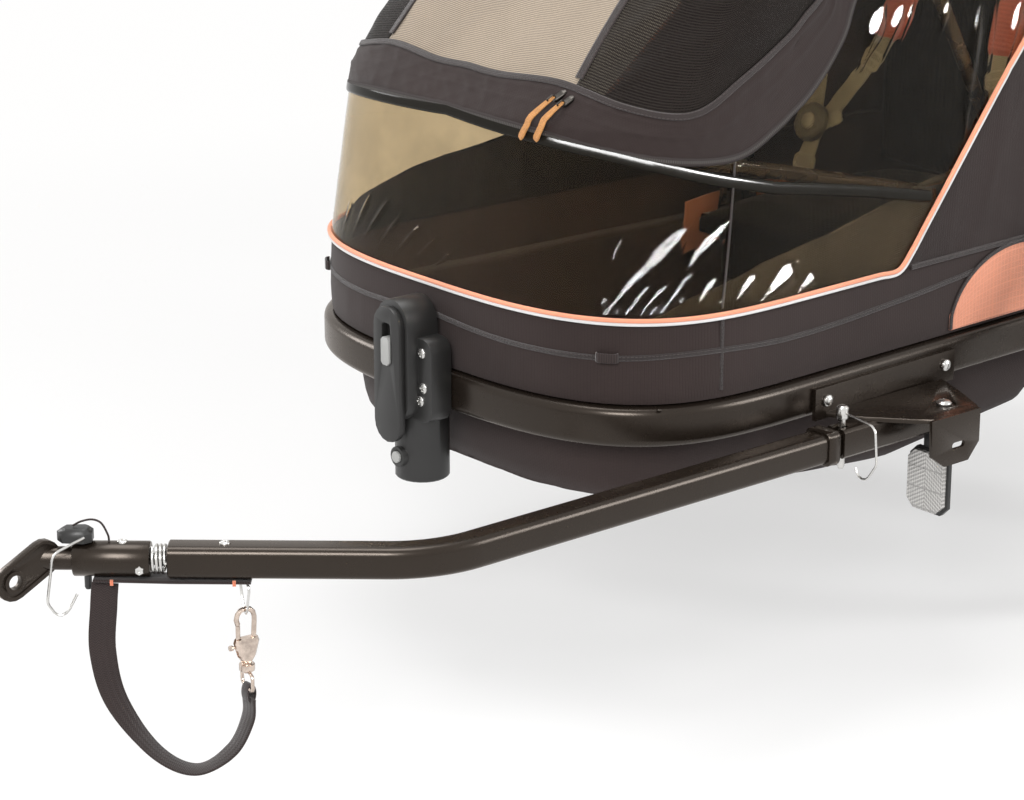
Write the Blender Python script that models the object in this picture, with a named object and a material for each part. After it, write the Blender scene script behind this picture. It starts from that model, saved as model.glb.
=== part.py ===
"""Folding two-seat bicycle trailer with a one-sided tow arm, as a CAD model for Blender 4.5.

Units are metres, +Z is up, the trailer travels along -Y and its left side is +X. Most sizes are
given in the datum frame of the base hoop: its origin is the lower front centre of the hoop, and the
empty hoop_datum puts that frame in the world.
"""

from math import atan2, cos, hypot, pi, radians, sin, sqrt, tan

import bmesh
import bpy
from mathutils import Matrix, Vector

# Touching pieces keep this gap
GAP = 0.0003
# Half the gap along a seam between two curved cloth panels
SEAM = 0.0006
# Where the hoop's lower front centre lies in the world, its height aside
HOOP_FRONT_Y = -0.2735

# Base hoop: a flattened tube bent into one ring
HOOP_HALF_WIDTH = 0.30
HOOP_FRONT_DEPTH = 0.235
HOOP_REAR = 1.02
HOOP_SIDE_TAPER = radians(1.7)
HOOP_REAR_CORNER = 0.09
HOOP_TALL = 0.042
HOOP_WIDE = 0.025
HOOP_EDGE = 0.009
FRONT_POWER = 3.0

# Cabin cloth
CLOTH = 0.003
BAND_INSET = 0.009
SKIRT_INSET = 0.036
FLOOR_INSET = 0.052
PIPING_Z = 0.13
BAND_MIDDLE_Z = 0.088
SKIRT_LOW_Z = 0.01
PIPING_TURN_Y = 0.415
PIPING_RISE = 0.97
NOSE_Z = 0.315
NOSE_Y = 0.03
NOSE_FALL = 0.244
WALL_LEAN_LOW = 0.14
WALL_LEAN_HIGH = 0.086
DOOR_PUSH = 0.78
DOOR_CURVE = 1.10
REAR_LEAN = 0.03
EAVE_Z = 0.60
ROOF_RISE = 0.055
DOOR_SIDE_Y = 0.385
DOOR_SIDE_Z = 0.37
WINDOW_TIP = 0.0115
FLOOR_FRONT_Z = -0.069
FLOOR_LOW_Z = -0.096
FLOOR_LOW_Y = 0.45
FLOOR_RISE_Y = 0.67
FLOOR_REAR_Y = 0.76
FLOOR_REAR_Z = -0.015
PANEL_FRONT_Y = 0.497
PANEL_LOW_Z = 0.048
PANEL_CURVE = 0.11

# Fold: three bows on one axis
FOLD_Y = 0.66
FOLD_Z = 0.153
BOW_TUBE = 0.016
BOW_CORNER = 0.06
BOW_LANE = 0.260
BOW_PITCH = 0.0168
BOW_EYE = 0.026
FOLD_PIN = 0.008
PIN_PLAY = 0.0004
NOSE_BOW_END = (0.046, 0.306)
MAIN_BOW_END = (0.925, 0.600)
ROOF_BOW_END = (0.425, 0.622)
NOSE_BOW_HALF = 0.238
MAIN_BOW_HALF = 0.200
ROOF_BOW_HALF = 0.192

# Push bar
PUSH_PIVOT_Y = 0.995
PUSH_PIVOT_Z = 0.570
PUSH_REACH = 0.17
PUSH_ANGLE = radians(47)
PUSH_HALF = 0.175
PUSH_TUBE = 0.020
PUSH_GRIP = 0.030
PUSH_GRIP_LONG = 0.20

# Wheels: 20 inch rims
WHEEL_X = 0.375
WHEEL_Y = 0.80
RIM_RADIUS = 0.213
TYRE_TALL = 0.041
WHEEL_RADIUS = RIM_RADIUS + TYRE_TALL
TYRE_WIDE = 0.045
TYRE_BEAD = 0.0115
RIM_DEEP = 0.016
RIM_WIDE = 0.027
HUB_HALF = 0.037
HUB_BARREL = 0.013
HUB_FLANGE = 0.026
SPOKE = 0.0024
SPOKES = 20
AXLE = 0.012
AXLE_CAP = 0.011
HUB_BUTTON = 0.0085
HUB_BUTTON_TRAVEL = 0.004
BEAM = 0.030
BEAM_DROP = 0.031
HOOP_HEIGHT = WHEEL_RADIUS + BEAM_DROP + BEAM / 2
BEAM_HALF = 0.322
BEAM_PLATE_X = 0.262
BEAM_PLATE_LONG = 0.07

# Tow arm
ARM_X = 0.337
ARM_Z = -0.016
ARM_TUBE = 0.031
ARM_EDGE = 0.008
ARM_BEND_Y = -0.253
ARM_BEND_ANGLE = radians(41.1)
ARM_BEND_RADIUS = 0.12
ARM_LENGTH = 0.2453
ARM_REAR_Y = 0.248
COLLAR = 0.036
COLLAR_LONG = 0.014
TONGUE_WIDE = 0.020
TONGUE_TALL = 0.024
TONGUE_END_Y = 0.40
FLEX_LONG = 0.016
SPRING_OUTER = 0.0285
SPRING_WIRE = 0.0032
SPRING_TURNS = 3.2
SPRING_SEAT = 0.0045
HITCH_TUBE = 0.033
HITCH_TUBE_LONG = 0.0711
STUB = 0.022
STUB_LONG = 0.030
LINK_THICK = 0.008
LINK_WIDE = 0.034
LINK_BORE = 0.014
LINK_RIM = 0.004
LINK_ASIDE = 0.0062
LINK_TOP = (-0.0039, -0.014)
LINK_HOLE = (-0.0339, -0.029)
HITCH_PIN_S = ARM_LENGTH + 0.0747
HITCH_PIN = 0.007
HITCH_PIN_LOW = -0.046
HITCH_PIN_LIFT = 0.055
WIRE = 0.0026
LANYARD = 0.002

# Receiver bracket on the rail
BRACKET_TOP = 0.0035
BRACKET_PLATE = 0.005
BRACKET_INNER_X = 0.303
BRACKET_OUTER_X = 0.396
BRACKET_WALL_LOW = -0.050
RECEIVER_FRONT_Y = 0.270
RECEIVER_REAR_Y = 0.455
RECEIVER_WALL = 0.003
LOCK_PIN_Y = 0.279
LOCK_PIN = 0.008
LOCK_HEAD = 0.013
RING_CLEAR = 0.0012
LOCK_PIN_TOP = 0.022
LOCK_PIN_LOW = -0.046
LOCK_PIN_LIFT = 0.048

# Reflector
REFLECTOR_X = 0.333
REFLECTOR_Y = 0.419
REFLECTOR_Z = -0.0925
REFLECTOR_WIDE = 0.056
REFLECTOR_TALL = 0.071

# Front wheel receptacle
SOCKET_OUTER = 0.058
SOCKET_BORE = 0.044
SOCKET_Y = -0.002
SOCKET_LOW = -0.080
LEVER_WIDE = 0.043
LEVER_LOW = -0.034
LEVER_HIGH = 0.113
LEVER_THICK = 0.008
LEVER_FACE_Y = -0.0485
LEVER_PIVOT_Z = -0.024
SLOT_WIDE = 0.014
SLOT_LOW = 0.050
SLOT_HIGH = 0.095
CATCH_TALL = 0.030
RELEASE_Z = -0.053
RELEASE_BUTTON = 0.0125
RELEASE_BOSS = 0.022
RELEASE_FACE_Y = -0.036
RELEASE_DEPTH = 0.0095
RELEASE_TRAVEL = 0.004
HOUSING_HALF = 0.026
HOUSING_RIM = 0.006
LOBE_WIDE = 0.088

# Seats
SEAT_SIDE_ROOM = 0.0134
SEAT_HALF = BOW_LANE - 2 * BOW_PITCH - BOW_TUBE / 2 - SEAT_SIDE_ROOM
SEAT_FRONT_Y = 0.58
SEAT_REAR_Y = 0.935
SEAT_TOP_Z = 0.095
SEAT_CUSHION = 0.05
SEAT_CHANNELS = 2
BUCKLE_TILT = radians(25)
BUCKLE_TRAVEL = 0.002
BUCKLE_BOSS = 0.003
STRAP_LIFT = 0.0011
BACK_THICK = 0.035
BACK_SINK = 0.0084
BACK_TOP = (0.925, 0.47)
BUCKLE = 0.048
BUCKLE_THICK = 0.014
BUCKLE_BUTTON = 0.021
WEBBING = 0.025
WEBBING_THICK = 0.0025
LEFT_BUCKLE = (0.13, 0.735, 0.178)
RIGHT_BUCKLE = (-0.13, 0.700, 0.176)

# Snap hook and safety strap, hung from the arm
STRAP_END_S = 0.0687
STRAP_END_LONG = 0.145
STRAP_SAG = 0.0012
HOOK_S = ARM_LENGTH - 0.0693
HOOK_TOP_Z = -0.0645
HOOK_WIRE = 0.005
HOOK_TURN = radians(35)
RING_TURN = radians(25)
RING_HALF = 0.014
EYE_HALF = 0.015
EYE_LOW_Z = -0.145
GATE_TRAVEL = 0.007

RING_SEGMENTS = 32
WHEEL_Z = WHEEL_RADIUS - HOOP_HEIGHT
DATUM = None
LOOKS = {}


def material(name, colour, roughness, metallic=0.0, alpha=1.0):
    made = bpy.data.materials.new(name)
    made.use_nodes = True
    shader = made.node_tree.nodes["Principled BSDF"]
    shader.inputs["Base Color"].default_value = (*colour, 1.0)
    shader.inputs["Roughness"].default_value = roughness
    shader.inputs["Metallic"].default_value = metallic
    shader.inputs["Alpha"].default_value = alpha
    return made


# Mesh helpers

def place(name, vertices, faces, look, pivot=(0.0, 0.0, 0.0), smooth=35.0):
    """One named object from points in the datum frame, with its origin at the pivot."""
    pivot = Vector(pivot)
    mesh = bpy.data.meshes.new(name)
    mesh.from_pydata([Vector(v) - pivot for v in vertices], [], faces)
    work = bmesh.new()
    work.from_mesh(mesh)
    bmesh.ops.remove_doubles(work, verts=work.verts, dist=1e-6)
    bmesh.ops.recalc_face_normals(work, faces=work.faces)
    work.to_mesh(mesh)
    work.free()
    mesh.shade_smooth()
    mesh.set_sharp_from_angle(angle=radians(smooth))
    if look is not None:
        mesh.materials.append(look)
    made = bpy.data.objects.new(name, mesh)
    made.location = pivot
    made.parent = DATUM
    bpy.context.collection.objects.link(made)
    return made


def skin(rings, looped=False):
    """Vertices and faces of a tube through rings of equal count, capped unless it loops."""
    count = len(rings[0])
    vertices = [point for ring in rings for point in ring]
    faces = []
    spans = len(rings) if looped else len(rings) - 1
    for i in range(spans):
        a = i * count
        b = (i + 1) % len(rings) * count
        for j in range(count):
            k = (j + 1) % count
            faces.append((a + j, a + k, b + k, b + j))
    if not looped:
        faces.append(tuple(range(count)))
        faces.append(tuple(range((len(rings) - 1) * count, len(rings) * count)))
    return vertices, faces


def round_section(radius, count=8):
    return [(radius * cos(2 * pi * (k + 0.5) / count), radius * sin(2 * pi * (k + 0.5) / count))
            for k in range(count)]


def box_section(wide, tall, edge, steps=2):
    """A rectangle with rounded corners, anticlockwise, centred on the origin."""
    points = []
    for corner, (sx, sy) in enumerate(((1, 1), (-1, 1), (-1, -1), (1, -1))):
        for k in range(steps + 1):
            angle = pi / 2 * (corner + k / steps)
            points.append((sx * (wide / 2 - edge) + edge * cos(angle),
                           sy * (tall / 2 - edge) + edge * sin(angle)))
    return points


def slot_section(half_long, radius, steps=8):
    """A pill outline along the second axis."""
    points = []
    for side in (1, -1):
        for k in range(steps + 1):
            angle = pi * k / steps + (0 if side > 0 else pi)
            points.append((radius * cos(angle), side * half_long + radius * sin(angle)))
    return points


def sweep_points(path, section, up=Vector((0, 0, 1)), looped=False, twist=None):
    """Rings of a section carried along a path; the section's second axis stays near up."""
    path = [Vector(p) for p in path]
    rings = []
    last = len(path) - 1
    for i, point in enumerate(path):
        if looped:
            before, after = path[i - 1], path[(i + 1) % len(path)]
        else:
            before, after = path[max(i - 1, 0)], path[min(i + 1, last)]
        along = (after - before).normalized()
        side = along.cross(up).normalized()
        top = side.cross(along)
        if twist is not None:
            turn = Matrix.Rotation(twist(i / last), 3, along)
            side = turn @ side
            top = turn @ top
        rings.append([point + side * a + top * b for a, b in section])
    return rings


def sweep(name, path, section, look, pivot=(0, 0, 0), up=Vector((0, 0, 1)), looped=False, twist=None):
    rings = sweep_points(path, section, up, looped, twist)
    vertices, faces = skin(rings, looped)
    return place(name, vertices, faces, look, pivot)


def fillet_path(points, radius, steps=5):
    """A polyline whose inner corners are replaced by arcs."""
    points = [Vector(p) for p in points]
    path = [points[0]]
    for before, corner, after in zip(points, points[1:], points[2:]):
        back = (before - corner).normalized()
        ahead = (after - corner).normalized()
        half = back.angle(ahead) / 2
        reach = radius / tan(half)
        centre = corner + (back + ahead).normalized() * (radius / sin(half))
        start = corner + back * reach - centre
        end = corner + ahead * reach - centre
        full = start.angle(end)
        for k in range(steps + 1):
            share = k / steps
            mixed = start * (sin((1 - share) * full) / sin(full)) + end * (sin(share * full) / sin(full))
            path.append(centre + mixed)
    path.append(points[-1])
    return path


def frame_matrix(origin, along, up=(0, 0, 1)):
    """A matrix whose Z axis runs along the given direction, with X to its side."""
    along = Vector(along).normalized()
    side = Vector(up).cross(along)
    if side.length < 1e-6:
        side = Vector((1, 0, 0))
    side.normalize()
    top = along.cross(side)
    turn = Matrix((side, top, along)).transposed().to_4x4()
    return Matrix.Translation(Vector(origin)) @ turn


def lathe(name, profile, origin, along, look, pivot=None, closed=False, segments=RING_SEGMENTS):
    """A turned piece: profile of (radius, distance along the axis), capped unless it is closed."""
    matrix = frame_matrix(origin, along)
    if closed:
        rings = []
        for k in range(segments):
            angle = 2 * pi * k / segments
            rings.append([matrix @ Vector((r * cos(angle), r * sin(angle), a)) for r, a in profile])
        vertices, faces = skin(rings, looped=True)
    else:
        rings = [[matrix @ Vector((r * cos(2 * pi * k / segments), r * sin(2 * pi * k / segments), a))
                  for k in range(segments)] for r, a in profile]
        vertices, faces = skin(rings)
    return place(name, vertices, faces, look, origin if pivot is None else pivot)


def prism(name, outline, start, end, plane, look, pivot=(0, 0, 0)):
    """An outline in the named plane, extruded from start to end along the third axis."""
    order = {"XY": (0, 1, 2), "XZ": (0, 2, 1), "YZ": (1, 2, 0)}[plane]
    rings = []
    for level in (start, end):
        ring = []
        for a, b in outline:
            point = [0.0, 0.0, 0.0]
            point[order[0]] = a
            point[order[1]] = b
            point[order[2]] = level
            ring.append(point)
        rings.append(ring)
    vertices, faces = skin(rings)
    return place(name, vertices, faces, look, pivot)


def shifted(section, a, b):
    return [(x + a, y + b) for x, y in section]


def boolean(target, tool, operation):
    step = target.modifiers.new(tool.name, "BOOLEAN")
    step.operation = operation
    step.solver = "EXACT"
    step.object = tool
    tool.hide_render = True
    tool.display_type = "WIRE"
    return target


def cut(target, *tools):
    for tool in tools:
        boolean(target, tool, "DIFFERENCE")
    return target


def join(target, *tools):
    for tool in tools:
        boolean(target, tool, "UNION")
    return target


# Plan of the hoop and the cloth walls

def side_end_y():
    return HOOP_REAR - HOOP_REAR_CORNER


def plan_point(station, inset):
    """A point of the hoop's plan, moved inwards by the inset.

    The station runs from 0 at the front centre through 1 (widest), 2 (end of the straight side) and
    3 (end of the rear corner) to 4 at the rear centre; negative stations are on the right side.
    """
    side = -1.0 if station < 0 else 1.0
    t = abs(station)
    width, depth, power = HOOP_HALF_WIDTH, HOOP_FRONT_DEPTH, FRONT_POWER
    taper = tan(HOOP_SIDE_TAPER)
    run = side_end_y() - depth
    rear_half = width - taper * run - HOOP_REAR_CORNER
    if t <= 1:
        angle = pi / 2 * t
        reach = (abs(sin(angle) / width) ** power + abs(cos(angle) / depth) ** power) ** (-1 / power)
        x = reach * sin(angle)
        y = depth - reach * cos(angle)
        normal = Vector(((x / width) ** (power - 1) / width, -((depth - y) / depth) ** (power - 1) / depth))
    elif t <= 2:
        y = depth + (t - 1) * run
        x = width - taper * (y - depth)
        normal = Vector((1.0, taper))
    elif t <= 3:
        angle = pi / 2 * (t - 2)
        x = rear_half + HOOP_REAR_CORNER * cos(angle)
        y = side_end_y() + HOOP_REAR_CORNER * sin(angle)
        normal = Vector((cos(angle), sin(angle)))
    else:
        x = rear_half * (4 - t)
        y = HOOP_REAR
        normal = Vector((0.0, 1.0))
    normal.normalize()
    return Vector((side * (x - inset * normal.x), y - inset * normal.y))


def ring_stations(front=12, straight=3, corner=4, rear=1):
    half = [k / front for k in range(front + 1)]
    half += [1 + (k + 1) / straight for k in range(straight)]
    half += [2 + (k + 1) / corner for k in range(corner)]
    half += [3 + (k + 1) / rear for k in range(rear)]
    return half + [-t for t in reversed(half[1:-1])]


def wall_point(station, z, depth=0.0):
    """A point of the cabin's outer cloth, moved inwards by the depth."""
    inset = BAND_INSET + depth
    if z > PIPING_Z:
        inset += WALL_LEAN_LOW * (min(z, NOSE_Z) - PIPING_Z)
    if z > NOSE_Z:
        inset += WALL_LEAN_HIGH * (z - NOSE_Z)
    point = plan_point(station, inset)
    front = inset
    if z > NOSE_Z:
        above = z - NOSE_Z
        slope = DOOR_PUSH + 2 * DOOR_CURVE * above
        front = wall_point(0.0, NOSE_Z).y + DOOR_PUSH * above + DOOR_CURVE * above ** 2
        front += depth * sqrt(1 + slope ** 2)
    rear = HOOP_REAR - inset - REAR_LEAN * max(0.0, z - PIPING_Z)
    share = (point.y - inset) / (HOOP_REAR - 2 * inset)
    return Vector((point.x, front + (rear - front) * share, z))


def station_at(y, z):
    """The left-hand station whose wall point has this Y at this height."""
    low, high = 0.0, 3.0
    for _ in range(40):
        middle = (low + high) / 2
        if wall_point(middle, z).y < y:
            low = middle
        else:
            high = middle
    return (low + high) / 2


def nose_line(y):
    return NOSE_Z - NOSE_FALL * (y - NOSE_Y)


def piping_line(y):
    return PIPING_Z + PIPING_RISE * max(0.0, y - PIPING_TURN_Y)


def height_on(line, station):
    """Where the wall at this station crosses a line given as height over Y."""
    z = line(wall_point(station, PIPING_Z).y)
    for _ in range(30):
        z = (z + line(wall_point(station, min(z, EAVE_Z)).y)) / 2
    return min(z, EAVE_Z)


def door_edge(station):
    """The lower and rear edge of the front door, a rounded corner in station and height."""
    start = station_at(0.19, nose_line(0.19))
    end = station_at(DOOR_SIDE_Y, DOOR_SIDE_Z)
    share = min(max((abs(station) - start) / (end - start), 0.0), 1.0)
    base = nose_line(0.19) + 0.012 * share
    return base + (EAVE_Z - base) * (1 - (1 - share ** 5) ** 0.2)


def cloth_patch(name, stations, low, high, rows, look):
    """A panel of the cabin wall between two heights at each station, one cloth thick."""
    outer, inner = [], []
    for station in stations:
        bottom, top = low(station), high(station)
        heights = [bottom + (top - bottom) * k / rows for k in range(rows + 1)]
        outer.append([wall_point(station, z) for z in heights])
        inner.append([wall_point(station, z, CLOTH) for z in heights])
    rings = [a + b[::-1] for a, b in zip(outer, inner)]
    vertices, faces = skin(rings)
    return place(name, vertices, faces, look, smooth=50.0)


# Materials

def make_looks():
    return {
        "frame": material("painted_frame", (0.018, 0.016, 0.014), 0.32, 0.6),
        "steel": material("bright_steel", (0.62, 0.60, 0.57), 0.25, 1.0),
        "hook": material("nickel_hook", (0.75, 0.58, 0.45), 0.25, 1.0),
        "plastic": material("black_plastic", (0.022, 0.021, 0.021), 0.5),
        "grey": material("grey_plastic", (0.55, 0.55, 0.53), 0.4),
        "cloth": material("charcoal_cloth", (0.075, 0.068, 0.066), 0.85),
        "salmon": material("salmon_cloth", (0.72, 0.33, 0.25), 0.8),
        "clear": material("clear_window", (0.55, 0.52, 0.48), 0.08, 0.0, 0.35),
        "mesh": material("mesh_door", (0.20, 0.19, 0.18), 0.8, 0.0, 0.6),
        "web": material("black_webbing", (0.06, 0.045, 0.043), 0.8),
        "olive": material("grey_webbing", (0.20, 0.19, 0.14), 0.8),
        "brick": material("brick_pad", (0.50, 0.17, 0.12), 0.8),
        "seat": material("dark_seat", (0.035, 0.033, 0.033), 0.85),
        "rubber": material("tyre_rubber", (0.03, 0.03, 0.03), 0.7),
        "alloy": material("alloy_rim", (0.50, 0.50, 0.50), 0.35, 1.0),
        "lens": material("white_lens", (0.85, 0.85, 0.83), 0.1),
        "foam": material("foam_grip", (0.03, 0.03, 0.03), 0.9),
    }


# Base frame

def make_hoop(look):
    centre = [plan_point(t, HOOP_WIDE / 2) for t in ring_stations(13, 2, 5, 1)]
    outer = [plan_point(t, 0.0) for t in ring_stations(13, 2, 5, 1)]
    rings = []
    for middle, edge in zip(centre, outer):
        out = (edge - middle).normalized()
        rings.append([Vector((middle.x + out.x * a, middle.y + out.y * a, HOOP_TALL / 2 + b))
                      for a, b in box_section(HOOP_WIDE, HOOP_TALL, HOOP_EDGE)])
    vertices, faces = skin(rings, looped=True)
    return place("base_hoop", vertices, faces, look)


def beam_z():
    return -BEAM_DROP - BEAM / 2


def make_axle_beam(look):
    """Square cross tube with a bored end for each axle, hung from the hoop by two plates."""
    z = beam_z()
    section = shifted(box_section(BEAM, BEAM, 0.003, 1), WHEEL_Y, z)
    beam = prism("axle_beam", section, -BEAM_HALF, BEAM_HALF, "YZ", look)
    for side in (-1, 1):
        half = BEAM_PLATE_LONG / 2
        low = z - BEAM / 2 - 0.004
        outline = [(WHEEL_Y - half, -GAP), (WHEEL_Y - half, -0.010), (WHEEL_Y - 0.022, low),
                   (WHEEL_Y + 0.022, low), (WHEEL_Y + half, -0.010), (WHEEL_Y + half, -GAP)]
        near = side * BEAM_PLATE_X
        plate = prism(f"beam_plate_{side}", outline, near, near + side * 0.006, "YZ", None)
        join(beam, plate)
    for side in (-1, 1):
        bore = lathe(f"beam_bore_{side}", [(AXLE / 2 + PIN_PLAY, 0.0), (AXLE / 2 + PIN_PLAY, 0.09)],
                     (side * (BEAM_HALF - 0.062), WHEEL_Y, WHEEL_Z), (side, 0, 0), None, segments=16)
        cut(beam, bore)
    return beam


def floor_z(y):
    """Height of the hanging floor: shallow in front, deepest under the feet, high over the axle."""
    if y < FLOOR_LOW_Y:
        share = max(0.0, min(1.0, (y - 0.16) / (FLOOR_LOW_Y - 0.16)))
        return FLOOR_FRONT_Z + (FLOOR_LOW_Z - FLOOR_FRONT_Z) * share
    if y < FLOOR_RISE_Y:
        return FLOOR_LOW_Z + 0.018 * (y - FLOOR_LOW_Y) / (FLOOR_RISE_Y - FLOOR_LOW_Y)
    share = min(1.0, (y - FLOOR_RISE_Y) / (FLOOR_REAR_Y - FLOOR_RISE_Y))
    return FLOOR_LOW_Z + 0.018 + (FLOOR_REAR_Z - FLOOR_LOW_Z - 0.018) * share


def tub_ring(stations, inset, height):
    points = []
    for station in stations:
        point = plan_point(station, inset)
        z = height(point.y) if callable(height) else height
        points.append(Vector((point.x, point.y, z)))
    return points


def make_tub(look):
    """Cloth tub: a band above the hoop, a fold over its top, a skirt inside it and a slung floor."""
    stations = ring_stations(10, 6, 4, 1)
    top = HOOP_TALL + GAP
    outer = [(BAND_INSET, PIPING_Z), (BAND_INSET, BAND_MIDDLE_Z), (BAND_INSET, top + 0.001),
             (BAND_INSET + 0.001, top), (SKIRT_INSET, top), (SKIRT_INSET + 0.002, SKIRT_LOW_Z)]
    skirt = SKIRT_INSET + 0.008
    rings = [tub_ring(stations, inset, z) for inset, z in outer]
    rings.append(tub_ring(stations, skirt, lambda y: floor_z(y) * 0.75))
    rings.append(tub_ring(stations, FLOOR_INSET, floor_z))
    count = len(stations)
    floor_low = len(rings) - 1
    t = CLOTH
    rings.append(tub_ring(stations, FLOOR_INSET + t / 2, lambda y: floor_z(y) + t))
    rings.append(tub_ring(stations, skirt + t, lambda y: floor_z(y) * 0.75 + t))
    for inset, z in ((SKIRT_INSET + 0.002 + t, SKIRT_LOW_Z), (SKIRT_INSET + t, top + t),
                     (BAND_INSET + t, top + t), (BAND_INSET + t, BAND_MIDDLE_Z),
                     (BAND_INSET + t, PIPING_Z)):
        rings.append(tub_ring(stations, inset, z))
    vertices = [p for ring in rings for p in ring]
    faces = []
    for i in range(len(rings)):
        if i == floor_low:
            continue
        a, b = i * count, (i + 1) % len(rings) * count
        for j in range(count):
            k = (j + 1) % count
            faces.append((a + j, a + k, b + k, b + j))
    half = count // 2
    for ring in (floor_low, floor_low + 1):
        base = ring * count
        for j in range(half):
            left, ahead = base + j, base + j + 1
            right, right_ahead = base + (count - j) % count, base + count - j - 1
            if j == 0:
                faces.append((left, ahead, right_ahead))
            elif j == half - 1:
                faces.append((left, ahead, right))
            else:
                faces.append((left, ahead, right_ahead, right))
    return place("tub", vertices, faces, look, smooth=60.0)


def make_side_panel(name, side, look):
    """Coloured side panel with a curved leading edge, laid over the band."""
    start = station_at(PANEL_FRONT_Y, 0.06)
    end = 2.0
    columns = 10
    rings = []
    for k in range(columns + 1):
        share = (k / columns) ** 1.8
        station = side * (start + (end - start) * share)
        y = abs(wall_point(station, 0.06).y) - PANEL_FRONT_Y
        rise = sqrt(max(0.0, 1 - (1 - min(1.0, (y + 0.002) / PANEL_CURVE)) ** 2))
        top = PANEL_LOW_Z + (PIPING_Z - 0.002 - PANEL_LOW_Z) * rise
        heights = [PANEL_LOW_Z, (PANEL_LOW_Z + top) / 2, top]
        outer = [wall_point(station, z, -CLOTH - GAP) for z in heights]
        inner = [wall_point(station, z, -GAP) for z in heights]
        rings.append(outer + inner[::-1])
    vertices, faces = skin(rings)
    return place(name, vertices, faces, look)


def make_cabin(looks):
    """Clear lower window, mesh door, side windows, rear cover and roof over the bows."""
    cross = station_at((NOSE_Z + NOSE_FALL * NOSE_Y - PIPING_Z + PIPING_RISE * PIPING_TURN_Y)
                       / (PIPING_RISE + NOSE_FALL) - 0.012, 0.20)
    half = [cross * (1 - (1 - k / 17) ** 1.2) for k in range(1, 18)]
    stations = [-t for t in reversed(half)] + [0.0] + half
    cloth_patch("front_window", stations,
                lambda t: height_on(piping_line, abs(t)) + GAP,
                lambda t: height_on(nose_line, abs(t)) - SEAM, 2, looks["clear"])
    corner = station_at(DOOR_SIDE_Y, DOOR_SIDE_Z)
    start = station_at(0.19, nose_line(0.19))
    shared = [start + (corner - start) * (1 - (1 - k / 9) ** 2.2) for k in range(10)]
    front = [start * k / 8 for k in range(1, 9)]
    half = front + shared[1:-1]
    stations = [-t for t in reversed(half)] + [0.0] + half
    cloth_patch("front_door", stations,
                lambda t: max(height_on(nose_line, abs(t)), door_edge(t) if abs(t) > start else 0.0) + SEAM,
                lambda t: EAVE_Z - SEAM, 4, looks["mesh"])
    rear = station_at(PIPING_TURN_Y + (EAVE_Z - PIPING_Z) / PIPING_RISE - WINDOW_TIP, EAVE_Z - WINDOW_TIP)
    span = [corner + 0.002 + (rear - corner) * k / 6 for k in range(7)]
    for side, word in ((1, "left"), (-1, "right")):
        columns = [side * t for t in shared[2:-1] + span]
        cloth_patch(f"side_window_{word}", columns,
                    lambda t: max(height_on(nose_line, abs(t)), height_on(piping_line, abs(t))) + SEAM,
                    lambda t: (door_edge(t) if abs(t) < corner else EAVE_Z) - SEAM, 3, looks["clear"])
    start = station_at(PIPING_TURN_Y + 0.008, PIPING_Z)
    finish = station_at(0.93, EAVE_Z - 0.03)
    half = [start + (finish - start) * k / 8 for k in range(9)]
    half += [finish + (3 - finish) * (k + 1) / 6 for k in range(6)] + [3.5]
    stations = half + [4.0] + [-t for t in reversed(half)]
    cover = cloth_patch("rear_cover", stations, lambda t: PIPING_Z + GAP,
                        lambda t: min(height_on(piping_line, abs(t)), EAVE_Z) - SEAM, 3, looks["cloth"])
    for side in (-1, 1):
        slot = prism(f"push_slot_{side}", shifted(box_section(0.016, 0.034, 0.004, 1), side * PUSH_HALF,
                                                  PUSH_PIVOT_Z), 0.94, 1.0, "XZ", None)
        cut(cover, slot)
    make_roof(looks["cloth"])


def make_roof(look):
    stations = ring_stations(9, 3, 3, 1)
    base = [wall_point(t, EAVE_Z) for t in stations]
    middle_y = sum(p.y for p in (base[0], base[len(base) // 2])) / 2
    shares = (1.0, 0.95, 0.80, 0.50)

    def ring(share, depth):
        z = EAVE_Z + ROOF_RISE * sqrt(1 - share ** 6)
        inner = 1.0 - depth / 0.24
        return [Vector((p.x * share * inner, middle_y + (p.y - middle_y) * share * inner, z - depth
                        if share < 1 else EAVE_Z)) for p in base]

    rings = [ring(share, 0.0) for share in shares]
    inner = [ring(share, CLOTH) for share in shares]
    rings = inner[::-1] + rings
    vertices, faces = skin(rings)
    return place("roof_cover", vertices, faces, look, smooth=60.0)


# Bows and push bar

def bow_frame(end):
    """Length and angle of a bow from the fold axis to its middle."""
    dy, dz = end[0] - FOLD_Y, end[1] - FOLD_Z
    return hypot(dy, dz), atan2(dz, dy)


def bow_point(x, reach, angle):
    return Vector((x, FOLD_Y + reach * cos(angle), FOLD_Z + reach * sin(angle)))


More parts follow.
